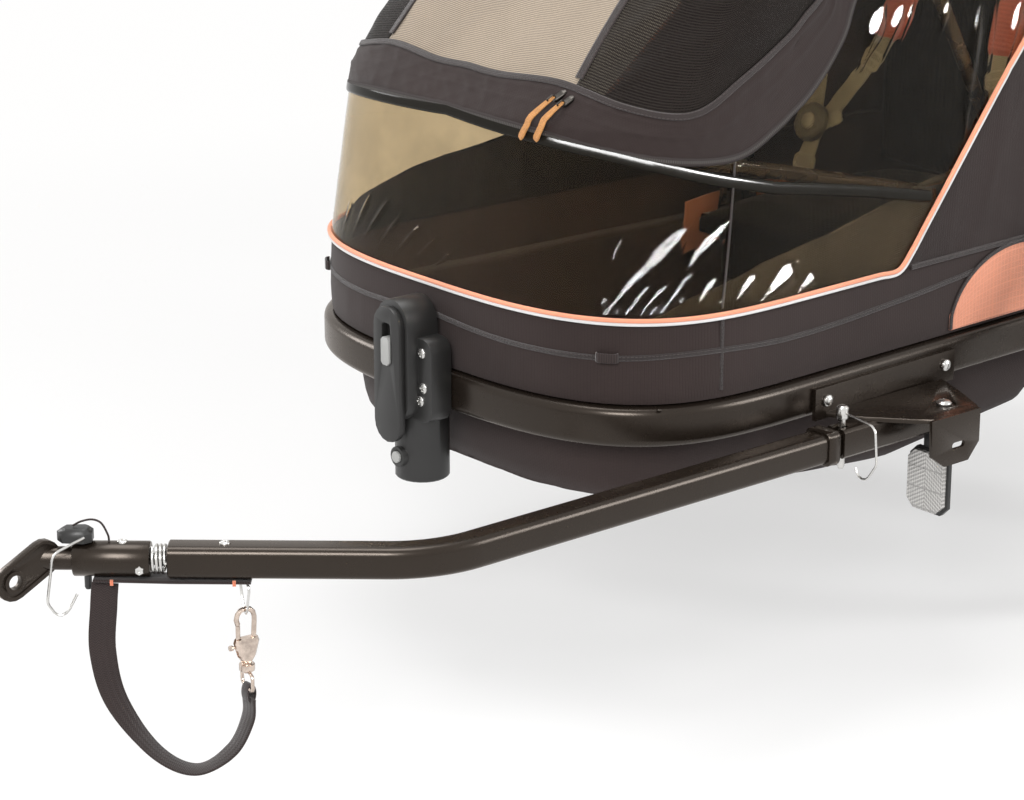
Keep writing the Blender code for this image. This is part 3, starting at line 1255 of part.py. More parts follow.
def make_snap_hook(looks):
    """Triangle ring under the arm, and a cast trigger hook: loop, tapered body, swivel collar and eye."""
    base = arm_point(HOOK_S)
    across = ARM_DIRECTION * cos(HOOK_TURN) + ARM_SIDE * sin(HOOK_TURN)
    broad = ARM_SIDE * cos(RING_TURN) - ARM_DIRECTION * sin(RING_TURN)

    def flat(a, z):
        return Vector((base.x + across.x * a, base.y + across.y * a, z))

    def side_on(a, z):
        return Vector((base.x + broad.x * a, base.y + broad.y * a, z))

    wire = HOOK_WIRE / 2
    apex = HOOK_TOP_Z - wire - WIRE / 2 - GAP
    top = strap_low() - WIRE / 2 - GAP
    half = RING_HALF
    bend = HOOK_TOP_Z - apex + 2 * GAP
    corner_z = apex
    for _ in range(6):
        corner_z = HOOK_TOP_Z - bend * hypot(half, top - corner_z) / half
    corners = [side_on(0, top), side_on(half, top), side_on(0, corner_z), side_on(-half, top),
               side_on(0, top)]
    ring = fillet_path(corners, bend, 3)[:-1]
    sweep("triangle_ring", ring, round_section(WIRE / 2, 6), looks["steel"], side_on(0, top),
          ARM_DIRECTION, looped=True)
    left = -0.0075
    nose = 0.0085
    body_top = HOOK_TOP_Z - 0.029
    body_low = body_top - 0.024
    arc = [flat(left, body_top - 0.006), flat(left - 0.0015, HOOK_TOP_Z - 0.014)]
    arc += [flat(0.0005 - 0.0095 * cos(pi * k / 6),
                 HOOK_TOP_Z - 0.0095 + 0.0095 * sin(pi * k / 6)) for k in range(7)]
    arc += [flat(nose, HOOK_TOP_Z - 0.0145)]
    hook = sweep("snap_hook", arc, round_section(wire, 7), looks["hook"], base, ARM_SIDE)
    levels = ((body_low, 0.0050, 0.0045), (body_low + 0.006, 0.0085, 0.0055),
              (body_top - 0.004, 0.0125, 0.0055),
              (body_top, 0.0115, 0.0045))
    rings = []
    for z, wide, thick in levels:
        rings.append([flat(a, z) + across.cross(Vector((0, 0, 1))) * b
                      for a, b in box_section(2 * wide, 2 * thick, 0.003, 1)])
    vertices, faces = skin(rings)
    body = place("hook_body", vertices, faces, None)
    collar = lathe("hook_collar", [(0.0045, body_low + 0.004), (0.0045, body_low - 0.002),
                                   (0.0075, body_low - 0.002),
                                   (0.0075, body_low - 0.008), (0.005, body_low - 0.010)],
                   (base.x, base.y, 0), (0, 0, 1), None, segments=12)
    eye_top = body_low - 0.009
    eye_low = EYE_LOW_Z + wire * 0.7
    eye_path = fillet_path([side_on(0, eye_top), side_on(EYE_HALF, eye_top), side_on(EYE_HALF, eye_low),
                            side_on(-EYE_HALF, eye_low), side_on(-EYE_HALF, eye_top), side_on(0, eye_top)],
                           0.0045, 3)[:-1]
    vertices, faces = skin(sweep_points(eye_path, round_section(wire * 0.7, 6), ARM_DIRECTION,
                                        looped=True), True)
    eye = place("hook_eye", vertices, faces, None)
    join(hook, body, collar, eye)
    gate_top = HOOK_TOP_Z - 0.0145 - GAP - 0.0005
    channel = sweep("gate_channel", [flat(nose, body_top + 0.003), flat(nose, body_low + 0.0055)],
                    box_section(0.0056, 0.0056, 0.001, 1), None, up=across)
    window = sweep("gate_window", [flat(nose + 0.006, body_top + 0.003),
                                   flat(nose + 0.006, body_low + 0.0055)],
                   box_section(0.0034, 0.012, 0.001, 1), None, up=across)
    cut(hook, channel, window)
    gate_low = body_low + 0.0055 + GATE_TRAVEL + GAP
    gate = sweep("hook_gate", [flat(nose, gate_top), flat(nose, gate_low)], round_section(0.0022, 8),
                 looks["hook"],
                 flat(nose, gate_top), across)
    knob = lathe("gate_knob", [(0.0013, -0.001), (0.0013, 0.006), (0.0026, 0.006), (0.0026, 0.0095)],
                 flat(nose, gate_low + 0.004), across, None, segments=10)
    join(gate, knob)


# Front wheel receptacle

def make_receptacle(looks):
    """Clamped socket for a front wheel: bored tube, pill-shaped housing, side lobes and button boss."""
    socket = lathe("receptacle_body", [(SOCKET_OUTER / 2 - 0.002, SOCKET_LOW),
                                       (SOCKET_OUTER / 2, SOCKET_LOW + 0.002),
                                       (SOCKET_OUTER / 2, -0.0008)],
                   (0, SOCKET_Y, 0), (0, 0, 1), looks["plastic"], (0, SOCKET_Y, 0), segments=24)
    back = -GAP - 0.0005
    front = LEVER_FACE_Y + LEVER_THICK + GAP
    middle = (LEVER_HIGH + HOUSING_RIM - 0.012) / 2
    half = (LEVER_HIGH + HOUSING_RIM + 0.012) / 2 - HOUSING_HALF
    housing = prism("receptacle_housing", shifted(slot_section(half, HOUSING_HALF), 0, middle), front,
                    back, "XZ", None)
    lobes = prism("receptacle_lobes", shifted(box_section(LOBE_WIDE, 0.090, 0.014, 3), 0.004, 0.036),
                  -0.027, back, "XZ", None)
    boss = lathe("release_boss", [(RELEASE_BOSS / 2, 0.0), (RELEASE_BOSS / 2, 0.014)],
                 (0, RELEASE_FACE_Y, RELEASE_Z),
                 (0, 1, 0), None, segments=20)
    join(socket, housing, lobes, boss)
    bore = lathe("socket_bore", [(SOCKET_BORE / 2, SOCKET_LOW - 0.01), (SOCKET_BORE / 2, -0.012)],
                 (0, SOCKET_Y, 0), (0, 0, 1), None, segments=24)
    depth = RELEASE_DEPTH
    well = lathe("release_well", [(RELEASE_BUTTON / 2 + PIN_PLAY, -0.01),
                                  (RELEASE_BUTTON / 2 + PIN_PLAY, depth)],
                 (0, RELEASE_FACE_Y, RELEASE_Z), (0, 1, 0), None, segments=16)
    cut(socket, bore, well)
    prism("clamp_back", shifted(box_section(0.070, 0.032, 0.008), 0, HOOP_TALL / 2 - 0.001),
                  HOOP_WIDE + GAP, HOOP_WIDE + GAP + 0.007, "XZ", looks["plastic"])
    pivot = (0.0, LEVER_FACE_Y + LEVER_THICK / 2, LEVER_PIVOT_Z)
    tall = LEVER_HIGH - LEVER_LOW
    outline = shifted(slot_section(tall / 2 - LEVER_WIDE / 2, LEVER_WIDE / 2), 0,
                      (LEVER_HIGH + LEVER_LOW) / 2)
    lever = prism("receptacle_lever", outline, LEVER_FACE_Y, LEVER_FACE_Y + LEVER_THICK, "XZ",
                  looks["plastic"], pivot)
    window = prism("catch_slot", shifted(box_section(SLOT_WIDE, SLOT_HIGH - SLOT_LOW, 0.004, 2), 0,
                                         (SLOT_HIGH + SLOT_LOW) / 2), -0.06, -0.03, "XZ", None)
    cut(lever, window)
    prism("lever_catch", shifted(box_section(SLOT_WIDE - 2 * PIN_PLAY, CATCH_TALL, 0.003, 1), 0,
                                         SLOT_LOW + GAP + CATCH_TALL / 2),
                  LEVER_FACE_Y - 0.002, LEVER_FACE_Y + LEVER_THICK - 0.001, "XZ", looks["grey"],
                  (0.0, LEVER_FACE_Y, SLOT_LOW + CATCH_TALL / 2))
    lathe("release_button", [(RELEASE_BUTTON / 2 - 0.001, -0.003), (RELEASE_BUTTON / 2, -0.002),
                             (RELEASE_BUTTON / 2, depth - RELEASE_TRAVEL - GAP)],
          (0, RELEASE_FACE_Y, RELEASE_Z), (0, 1, 0), looks["grey"], segments=16)


def make_reflector(looks):
    """Reflector hung under the receiver: a backing with a stem, and a lens with cut corners."""
    x, z = REFLECTOR_X, REFLECTOR_Z
    wide, tall = REFLECTOR_WIDE, REFLECTOR_TALL
    back = prism("reflector_base", shifted(box_section(wide, tall, 0.010, 1), x, z), REFLECTOR_Y,
                 REFLECTOR_Y + 0.005, "XZ", looks["plastic"])
    top = ARM_Z - receiver_size()[1] / 2 - GAP
    stem = prism("reflector_stem", shifted(box_section(0.022, top - z, 0.004, 1), x, (top + z) / 2),
                 REFLECTOR_Y + 0.002, REFLECTOR_Y + 0.012, "XZ", None)
    join(back, stem)
    prism("reflector_lens", shifted(box_section(wide - 0.006, tall - 0.006, 0.009, 1), x, z),
          REFLECTOR_Y - 0.006, REFLECTOR_Y - GAP, "XZ", looks["lens"])


# Seats and harness

def pad_height(u, v, channels):
    """Height of a stuffed pad's top as a share of its thickness, u and v running from -1 to 1."""
    crown = (1 - abs(u) ** 4) ** 0.5 * (1 - abs(v) ** 4) ** 0.5
    groove = 0.16 * abs(cos(pi * channels * (v + 1) / 2)) ** 6 * (1 - abs(u) ** 8)
    return 0.35 + 0.65 * crown - groove * crown


def cushion(name, origin, across, along, out, wide, long, thick, channels, look):
    """A stuffed pad: flat underside, a crowned top with stitched channels and drawn-in sides."""
    columns, rows = 10, 10
    vertices, faces = [], []
    for i in range(rows + 1):
        v = -1 + 2 * i / rows
        for j in range(columns + 1):
            u = -1 + 2 * j / columns
            height = thick * pad_height(u, v, channels)
            shrink = 1 - 0.03 * v * v
            squeeze = 1 - 0.02 * u * u
            vertices.append(origin + across * (u * wide / 2 * shrink) + along * (v * long / 2 * squeeze) + out * height)
    top = len(vertices)
    for i in range(rows + 1):
        v = -1 + 2 * i / rows
        for j in range(columns + 1):
            u = -1 + 2 * j / columns
            shrink = 1 - 0.03 * v * v
            squeeze = 1 - 0.02 * u * u
            vertices.append(origin + across * (u * wide / 2 * shrink) + along * (v * long / 2 * squeeze))
    line = columns + 1
    for i in range(rows):
        for j in range(columns):
            a = i * line + j
            faces.append((a, a + 1, a + line + 1, a + line))
            b = a + top
            faces.append((b, b + line, b + line + 1, b + 1))
    edge = [j for j in range(line)]
    edge += [(i + 1) * line - 1 for i in range(1, rows + 1)]
    edge += [rows * line + j for j in reversed(range(columns))]
    edge += [i * line for i in reversed(range(1, rows))]
    for a, b in zip(edge, edge[1:] + edge[:1]):
        faces.append((a, a + top, b + top, b))
    return place(name, vertices, faces, look, smooth=60.0)


def make_seats(looks):
    x, y, z = Vector((1, 0, 0)), Vector((0, 1, 0)), Vector((0, 0, 1))
    low = FLOOR_REAR_Z + CLOTH + GAP
    front = max(SEAT_FRONT_Y, FLOOR_REAR_Y + 0.004)
    long = SEAT_REAR_Y - SEAT_FRONT_Y
    thick = SEAT_CUSHION
    base = cushion("seat_base", Vector((0, SEAT_FRONT_Y + long / 2, SEAT_TOP_Z - thick)), x, y, z,
                   2 * SEAT_HALF, long, thick, SEAT_CHANNELS, looks["seat"])
    support = prism("seat_support", [(-SEAT_HALF + 0.01, front), (SEAT_HALF - 0.01, front),
                                     (SEAT_HALF - 0.01, SEAT_REAR_Y - 0.01),
                                     (-SEAT_HALF + 0.01, SEAT_REAR_Y - 0.01)],
                    low, SEAT_TOP_Z - thick + 0.008, "XY", None)
    join(base, support)
    foot = Vector((0, SEAT_REAR_Y - 0.030, SEAT_TOP_Z - BACK_SINK))
    head = Vector((0, *BACK_TOP))
    up = (head - foot).normalized()
    out = Vector((0, -up.z, up.y))
    long = (head - foot).length
    cushion("seat_back", (foot + head) / 2 - out * 0.002, x * -1, up, out, 2 * SEAT_HALF - 0.01, long,
            BACK_THICK, 4,
            looks["seat"])


def strap_sweep(name, points, wide, thick, look, count=6):
    """A flat strap whose width stays along X."""
    route = smooth_route(points, count)
    rings = []
    for i, point in enumerate(route):
        before, after = route[max(i - 1, 0)], route[min(i + 1, len(route) - 1)]
        along = (after - before).normalized()
        side = Vector((1, 0, 0))
        side = (side - along * side.dot(along)).normalized()
        top = side.cross(along)
        rings.append([point + side * a + top * b for a, b in box_section(wide, thick, thick * 0.3, 1)])
    vertices, faces = skin(rings)
    return place(name, vertices, faces, look)


def make_harness(word, buckle, looks):
    """Five-point belt of one seat: two padded shoulder straps and a crotch strap to a round buckle."""
    x, y, z = buckle
    facing = Vector((0, -cos(BUCKLE_TILT), sin(BUCKLE_TILT)))
    rise = Vector((0, sin(BUCKLE_TILT), cos(BUCKLE_TILT)))
    centre = Vector(buckle)
    half = BUCKLE_THICK / 2
    body = lathe(f"buckle_{word}", [(0.009, -half - BUCKLE_BOSS), (0.009, -half),
                                    (BUCKLE / 2 - 0.003, -half), (BUCKLE / 2, -half + 0.003),
                                    (BUCKLE / 2, half - 0.004), (BUCKLE / 2 - 0.004, half)],
                 centre, facing, looks["plastic"], segments=20)
    well = lathe(f"buckle_well_{word}", [(BUCKLE_BUTTON / 2 + PIN_PLAY, half - 0.0045),
                                         (BUCKLE_BUTTON / 2 + PIN_PLAY, 0.02)],
                 centre, facing, None, segments=16)
    cut(body, well)
    rest = half - 0.0045 + BUCKLE_TRAVEL + GAP
    lathe(f"buckle_button_{word}", [(BUCKLE_BUTTON / 2, rest), (BUCKLE_BUTTON / 2, half - 0.0005),
                                    (BUCKLE_BUTTON / 2 - 0.003, half + 0.001)],
          centre, facing, looks["brick"], centre + facing * rest, segments=16)
    back = centre - facing * (half + BUCKLE_BOSS + GAP + WEBBING_THICK * 0.7)
    shoulder = []
    for side in (-1, 1):
        top = Vector((x + side * 0.050, BACK_TOP[0] - 0.075, 0.40))
        mid = Vector((x + side * 0.052, (y + BACK_TOP[0] - 0.06) / 2, 0.29))
        low = back + rise * 0.006 + Vector((side * 0.010, 0, 0))
        shoulder.append(strap_sweep(f"shoulder_strap_{word}_{side}", [top, mid, low], WEBBING,
                                    WEBBING_THICK,
                                    looks["olive"]))
        pad = strap_sweep(f"shoulder_pad_{word}_{side}", [top.lerp(mid, 0.05), top.lerp(mid,
                                                            0.55) + facing * 0.002,
                                                          mid.lerp(low, 0.12)], 0.046, 0.010, None)
        join(shoulder[-1], pad)
    harness = shoulder[0]
    harness.name = f"harness_{word}"
    shoulder[1].name = f"harness_half_{word}"
    edge = back - rise * 0.030
    long = SEAT_REAR_Y - SEAT_FRONT_Y
    foot_y = edge.y - 0.012
    share = (foot_y - SEAT_FRONT_Y - long / 2) / (long / 2)
    foot_z = SEAT_TOP_Z - SEAT_CUSHION * (1 - pad_height(x / SEAT_HALF, share, SEAT_CHANNELS)) + STRAP_LIFT
    crotch = strap_sweep(f"crotch_strap_{word}", [back + rise * 0.008, edge, edge.lerp(edge - rise * 0.04,
                                                            0.5),
                                                  Vector((x, foot_y, foot_z))], WEBBING,
                         WEBBING_THICK * 1.4, None, 5)
    join(harness, shoulder[1], crotch)


def main():
    global DATUM
    for old in list(bpy.data.objects):
        bpy.data.objects.remove(old)
    DATUM = bpy.data.objects.new("hoop_datum", None)
    DATUM.location = (0.0, HOOP_FRONT_Y, HOOP_HEIGHT)
    bpy.context.collection.objects.link(DATUM)
    LOOKS.update(make_looks())
    make_hoop(LOOKS["frame"])
    make_axle_beam(LOOKS["frame"])
    make_tub(LOOKS["cloth"])
    for side, word in ((1, "left"), (-1, "right")):
        make_side_panel(f"side_panel_{word}", side, LOOKS["salmon"])
    make_cabin(LOOKS)
    make_bows(LOOKS)
    make_pivot_plates(LOOKS["frame"])
    make_push_bar(LOOKS)
    for side, word in ((1, "left"), (-1, "right")):
        make_wheel(word, side, LOOKS)
    make_tow_tube(LOOKS["frame"])
    make_bracket(LOOKS)
    make_lock_pin(LOOKS)
    make_flex(LOOKS)
    make_hitch(LOOKS)
    make_straps(LOOKS)
    make_snap_hook(LOOKS)
    make_receptacle(LOOKS)
    make_reflector(LOOKS)
    make_seats(LOOKS)
    make_harness("left", LEFT_BUCKLE, LOOKS)
    make_harness("right", RIGHT_BUCKLE, LOOKS)


main()
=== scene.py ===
"""Dressed model of a folding two-seat bicycle trailer with a one-sided tow arm.

Sizes are in metres. Shapes are worked out in the hoop frame, whose origin is the lower front centre
of the base hoop; the trailer travels along -Y and its left side is +X.
"""

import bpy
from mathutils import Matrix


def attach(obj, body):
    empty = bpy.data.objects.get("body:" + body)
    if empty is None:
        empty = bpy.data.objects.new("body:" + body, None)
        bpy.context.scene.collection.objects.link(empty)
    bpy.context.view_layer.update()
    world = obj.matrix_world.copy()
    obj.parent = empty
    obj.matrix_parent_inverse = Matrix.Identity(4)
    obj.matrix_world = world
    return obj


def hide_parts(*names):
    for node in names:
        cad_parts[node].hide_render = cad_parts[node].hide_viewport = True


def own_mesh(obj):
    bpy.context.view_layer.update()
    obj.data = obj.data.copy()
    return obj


bl_info = {
    "name": "Folding Bicycle Trailer",
    "version": (1, 0, 0),
    "blender": (4, 5, 0),
    "location": "View3D > Sidebar > Trailer",
    "description": "Builds the dressed cloth, film, frame and fittings of a bicycle trailer",
    "category": "Object",
}

import bmesh
import bpy
import numpy as np
from mathutils import Vector

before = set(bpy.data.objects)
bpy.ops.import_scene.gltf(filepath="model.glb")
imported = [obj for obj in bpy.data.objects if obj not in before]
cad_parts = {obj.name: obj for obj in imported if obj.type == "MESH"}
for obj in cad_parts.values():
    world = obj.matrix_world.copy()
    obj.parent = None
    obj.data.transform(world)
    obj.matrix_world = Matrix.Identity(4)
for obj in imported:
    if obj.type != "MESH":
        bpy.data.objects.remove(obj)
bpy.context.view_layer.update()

ORIGIN = np.array([0.0, -0.2735, 0.30])
X_AXIS, Y_AXIS, UP = np.eye(3)
PI = np.pi
SIDES = ((1, "left"), (-1, "right"))

# Plan of the hoop and slopes of the cloth walls
HALF_WIDTH, FRONT_DEPTH, REAR, REAR_CORNER = 0.30, 0.235, 1.02, 0.09
TAPER = np.tan(np.radians(1.7))
SIDE_END = REAR - REAR_CORNER
HOOP_WIDE, HOOP_TALL = 0.025, 0.042
BAND_INSET, PIPING_Z, NOSE_Z, EAVE_Z = 0.009, 0.13, 0.315, 0.60
LOW_LEAN, HIGH_LEAN, REAR_LEAN = 0.14, 0.086, 0.03
FRONT_SLOPE, FRONT_CURVE = 0.78, 1.10
NOSE_Y, NOSE_FALL = 0.03, 0.244
PIPING_BEND_Y, PIPING_CLIMB = 0.415, 0.97
FOLD_Y, FOLD_Z = 0.66, 0.153
GAP = 0.0003

# Thickness of the sheets
CLOTH, BORDER, TUB, LINING, MESH, FILM = 0.0022, 0.0018, 0.0026, 0.0016, 0.0007, 0.0006

# Tow arm
ARM_Z = -0.016
BEND_VERTEX = np.array([0.337, -0.253, ARM_Z])
BEND_ANGLE = np.radians(41.1)
ARM_ALONG = np.array([-np.sin(BEND_ANGLE), -np.cos(BEND_ANGLE), 0.0])
ARM_OUT = np.array([np.cos(BEND_ANGLE), -np.sin(BEND_ANGLE), 0.0])
ARM_END, FLEX_LONG, HITCH_LONG, HITCH_RADIUS = 0.2453, 0.016, 0.0711, 0.0165
HITCH_TOP, HITCH_LOW = ARM_Z + HITCH_RADIUS, ARM_Z - HITCH_RADIUS
WEBBING, STRAP_THICK = 0.025, 0.0022


# Arrays

def unit(vectors):
    """Vectors divided by their own length."""
    return vectors / np.maximum(np.linalg.norm(vectors, axis=-1, keepdims=True), 1e-12)


def arm(s, out=0.0, z=BEND_VERTEX[2]):
    """Points of the slanted run: distance s from the bend, offset to the outer side, height z."""
    s, out, z = np.broadcast_arrays(np.asarray(s, float), out, z)
    points = BEND_VERTEX + ARM_ALONG * s[..., None] + ARM_OUT * out[..., None]
    points[..., 2] = z
    return points


def shares(count):
    """Even shares of a way, from nought to one."""
    return np.linspace(0, 1, count)


def run_of(points):
    """Distance covered along a polyline at each of its points."""
    return np.append(0, np.cumsum(np.linalg.norm(np.diff(points, axis=0), axis=1)))


def smooth_line(points, count):
    """A Catmull-Rom curve through the given points, shared out evenly by its length."""
    points = np.asarray(points, float)
    ends = np.concatenate([[2 * points[0] - points[1]], points, [2 * points[-1] - points[-2]]])
    a, b, c, d = ends[:-3, None], ends[1:-2, None], ends[2:-1, None], ends[3:, None]
    t = np.linspace(0, 1, 24, endpoint=False)[None, :, None]
    dense = 0.5 * (2 * b + (c - a) * t + (2 * a - 5 * b + 4 * c - d) * t ** 2
                   + (3 * b - a - 3 * c + d) * t ** 3)
    dense = np.concatenate([dense.reshape(-1, points.shape[1]), points[-1:]])
    return even_line(dense, count)


def even_line(points, count):
    """Points of a polyline shared out evenly by length."""
    points = np.asarray(points, float)
    run = run_of(points)
    want = np.linspace(0, run[-1], count)
    return np.stack([np.interp(want, run, points[:, k]) for k in range(points.shape[1])], 1)


def fillet(points, radius, steps=12):
    """A polyline whose inner corners are replaced by arcs of one radius."""
    points = np.asarray(points, float)
    path = [points[:1]]
    for before, corner, after in zip(points, points[1:], points[2:]):
        back, ahead = unit(before - corner), unit(after - corner)
        half = np.arccos(np.clip(back @ ahead, -1, 1)) / 2
        centre = corner + unit(back + ahead) * radius / np.sin(half)
        reach = radius / np.tan(half)
        start, end = corner + back * reach - centre, corner + ahead * reach - centre
        full = np.arccos(np.clip(start @ end / radius ** 2, -1, 1))
        share = shares(steps + 1)[:, None]
        arc = start * np.sin((1 - share) * full) + end * np.sin(share * full)
        path.append(centre + arc / np.sin(full))
    path.append(points[-1:])
    return np.concatenate(path)


def circle(radius, count=16):
    """A round section."""
    angle = 2 * PI * (np.arange(count) + 0.5) / count
    return np.stack([radius * np.cos(angle), radius * np.sin(angle)], 1)


def rounded(wide, tall, edge, steps=5):
    """A rectangle with quarter-circle corners, anticlockwise."""
    share = shares(steps + 1)
    parts = []
    for corner, (sx, sy) in enumerate(((1, 1), (-1, 1), (-1, -1), (1, -1))):
        angle = PI / 2 * (corner + share)
        parts.append(np.stack([sx * (wide / 2 - edge) + edge * np.cos(angle),
                               sy * (tall / 2 - edge) + edge * np.sin(angle)], 1))
    return np.concatenate(parts)


def tangents(path, looped=False):
    """Unit directions of a path, from the two neighbours of each point."""
    if looped:
        return unit(np.roll(path, -1, 0) - np.roll(path, 1, 0))
    return unit(np.gradient(path, axis=0))


def strap_axes(path, broad):
    """Along, side and top directions of a strap whose width lies near broad, square to its path."""
    along = tangents(path)
    broad = np.broadcast_to(broad, path.shape)
    side = unit(broad - along * (broad * along).sum(-1, keepdims=True))
    return along, side, np.cross(side, along)


def axes_round(axis):
    """An axis of length one and two directions square to it and to each other."""
    axis = unit(np.asarray(axis, float))
    side = unit(np.cross(UP if abs(axis[2]) < 0.9 else X_AXIS, axis))
    return axis, side, np.cross(axis, side)


def loft(path, side, top, section, grow=1.0):
    """A section at each point of a path: the two directions times its coordinates times grow."""
    size = np.broadcast_to(np.asarray(grow, float), len(path))[:, None, None]
    return (path[:, None] + side[:, None] * (section[:, :1] * size)
            + top[:, None] * (section[:, 1:] * size))


def swept(path, section, up=UP, looped=False, grow=1.0):
    """A section carried along a path, its second axis near up, scaled by grow."""
    path = np.asarray(path, float)
    along = tangents(path, looped)
    side = unit(np.cross(along, up))
    return loft(path, side, np.cross(side, along), section, grow)


def mirrored(left):
    """A route of stations and heights from the centre outwards, with its mirror image before it."""
    return np.concatenate([left[::-1] * [-1, 1], left[1:]])


def ring_stations(*counts):
    """Stations once round the plan, with a count of points for each of the four zones of a side."""
    half = np.concatenate([[0.0]] + [zone + shares(count)[1:] for zone, count in enumerate(counts)])
    return np.concatenate([half, -half[-2:0:-1]])


# Walls

def plan(station, inset):
    """The hoop's plan moved inwards: a superellipse in front, straight sides that close in, round
    rear corners. The station is 0 at the front centre, 1 at the widest point, 2 and 3 at the ends
    of the rear corner and 4 at the rear centre; it is negative on the right side."""
    station, inset = np.broadcast_arrays(np.asarray(station, float), np.asarray(inset, float))
    t, side = np.abs(station), np.where(station < 0, -1.0, 1.0)
    run = SIDE_END - FRONT_DEPTH
    rear_half = HALF_WIDTH - TAPER * run - REAR_CORNER
    angle = PI / 2 * np.clip(t, 0, 1)
    reach = ((np.sin(angle) / HALF_WIDTH) ** 3
             + (np.abs(np.cos(angle)) / FRONT_DEPTH) ** 3) ** (-1 / 3)
    x1, y1 = reach * np.sin(angle), FRONT_DEPTH - reach * np.cos(angle)
    n1 = np.stack([(x1 / HALF_WIDTH) ** 2 / HALF_WIDTH,
                   -((FRONT_DEPTH - y1) / FRONT_DEPTH) ** 2 / FRONT_DEPTH], -1)
    y2 = FRONT_DEPTH + (t - 1) * run
    x2 = HALF_WIDTH - TAPER * (y2 - FRONT_DEPTH)
    n2 = np.stack([np.ones_like(t), np.full_like(t, TAPER)], -1)
    turn = PI / 2 * np.clip(t - 2, 0, 1)
    n3 = np.stack([np.cos(turn), np.sin(turn)], -1)
    x3, y3 = rear_half + REAR_CORNER * n3[..., 0], SIDE_END + REAR_CORNER * n3[..., 1]
    x4, y4 = rear_half * (4 - t), np.full_like(t, REAR)
    n4 = np.stack([np.zeros_like(t), np.ones_like(t)], -1)
    zones = [t <= 1, t <= 2, t <= 3]
    x = np.select(zones, [x1, x2, x3], x4)
    y = np.select(zones, [y1, y2, y3], y4)
    pick = [np.repeat(z[..., None], 2, -1) for z in zones]
    normal = unit(np.select(pick, [n1, n2, n3], n4))
    return side * (x - inset * normal[..., 0]), y - inset * normal[..., 1]


def wall(station, z, depth=0.0):
    """The cabin's outer cloth: it leans in above the piping, and the front slopes back as a
    parabola above the nose line; the depth moves the point inwards."""
    station, z, depth = np.broadcast_arrays(np.asarray(station, float), np.asarray(z, float),
                                            np.asarray(depth, float))
    above = np.clip(z - NOSE_Z, 0, None)
    inset = (BAND_INSET + depth + LOW_LEAN * np.clip(z - PIPING_Z, 0, NOSE_Z - PIPING_Z)
             + HIGH_LEAN * above)
    x, y = plan(station, inset)
    base = BAND_INSET + LOW_LEAN * (NOSE_Z - PIPING_Z)
    push = (base + FRONT_SLOPE * above + FRONT_CURVE * above ** 2
            + depth * np.sqrt(1 + (FRONT_SLOPE + 2 * FRONT_CURVE * above) ** 2))
    front = np.where(z > NOSE_Z, push, inset)
    rear = REAR - inset - REAR_LEAN * np.clip(z - PIPING_Z, 0, None)
    share = (y - inset) / (REAR - 2 * inset)
    return np.stack([x, front + (rear - front) * share, z], -1)


def wall_frame(station, z):
    """Point and outward normal of the wall, the normal from the cross product of its two slopes."""
    step = 1e-3
    ahead = wall(station + step, z) - wall(station - step, z)
    rise = wall(station, z + step) - wall(station, z - step)
    return wall(station, z), unit(np.cross(ahead, rise))


def station_at(y, z):
    """The left-hand station whose wall point has this y at this height, by halving."""
    y, z = np.broadcast_arrays(np.asarray(y, float), np.asarray(z, float))
    low, high = np.zeros(y.shape), np.full(y.shape, 3.0)
    for _ in range(32):
        middle = (low + high) / 2
        less = wall(middle, z)[..., 1] < y
        low, high = np.where(less, middle, low), np.where(less, high, middle)
    return (low + high) / 2


def nearest_station(points):
    """The station of the wall nearest to each point at the point's own height."""
    points = np.asarray(points, float)
    stations = np.linspace(-3, 3, 2401)
    spread = wall(stations[None], points[:, 2:3])[..., :2] - points[:, None, :2]
    return stations[np.argmin((spread ** 2).sum(-1), axis=1)]


def nose_line(y):
    """Height of the zip between film and door: it falls evenly towards the rear."""
    return NOSE_Z - NOSE_FALL * (y - NOSE_Y)


def piping_line(y):
    """Height of the piping: level in front, then it climbs evenly towards the rear."""
    return PIPING_Z + PIPING_CLIMB * np.clip(y - PIPING_BEND_Y, 0, None)


def height_on(line, station):
    """Where the wall at a station crosses a line that gives height over y, by averaging."""
    station = np.abs(np.asarray(station, float))
    z = line(wall(station, PIPING_Z)[..., 1])
    for _ in range(30):
        z = (z + line(wall(station, np.minimum(z, EAVE_Z))[..., 1])) / 2
    return np.minimum(z, EAVE_Z)


def folds(u, v, seed, count, size, height):
    """Soft cloth folds: a sum of sine waves in seeded directions, sharpened at their crests."""
    rng = np.random.default_rng(seed)
    total = np.zeros(np.broadcast(u, v).shape)
    for _ in range(count):
        turn, phase, scale = rng.uniform(0, PI), rng.uniform(0, 2 * PI), rng.uniform(0.6, 1.7)
        bend = rng.uniform(0, 2 * PI)
        wave = np.sin((u * np.cos(turn) + v * np.sin(turn)) * 2 * PI / (size * scale) + phase
                      + 0.9 * np.sin(v * 9 / size * 0.1 + bend))
        total += (1 - np.abs(wave)) ** 2 - 0.33
    return height * total / max(count, 1) ** 0.5


def beside(points, start, end):
    """Share of the way from start to end at each point, and the distance from that line."""
    start = np.asarray(start, float)
    run = np.asarray(end, float) - start
    share = np.clip((points - start) @ run / (run @ run), 0, 1)
    return share, np.linalg.norm(points - (start + share[..., None] * run), axis=-1)


def crease(points, start, end, wide, height):
    """A ridge along the line from start to end that fades at its ends, a bell curve across it."""
    share, away = beside(points, start, end)
    return height * (0.35 + 0.65 * np.sin(PI * share) ** 0.5) * np.exp(-(away / wide) ** 2)


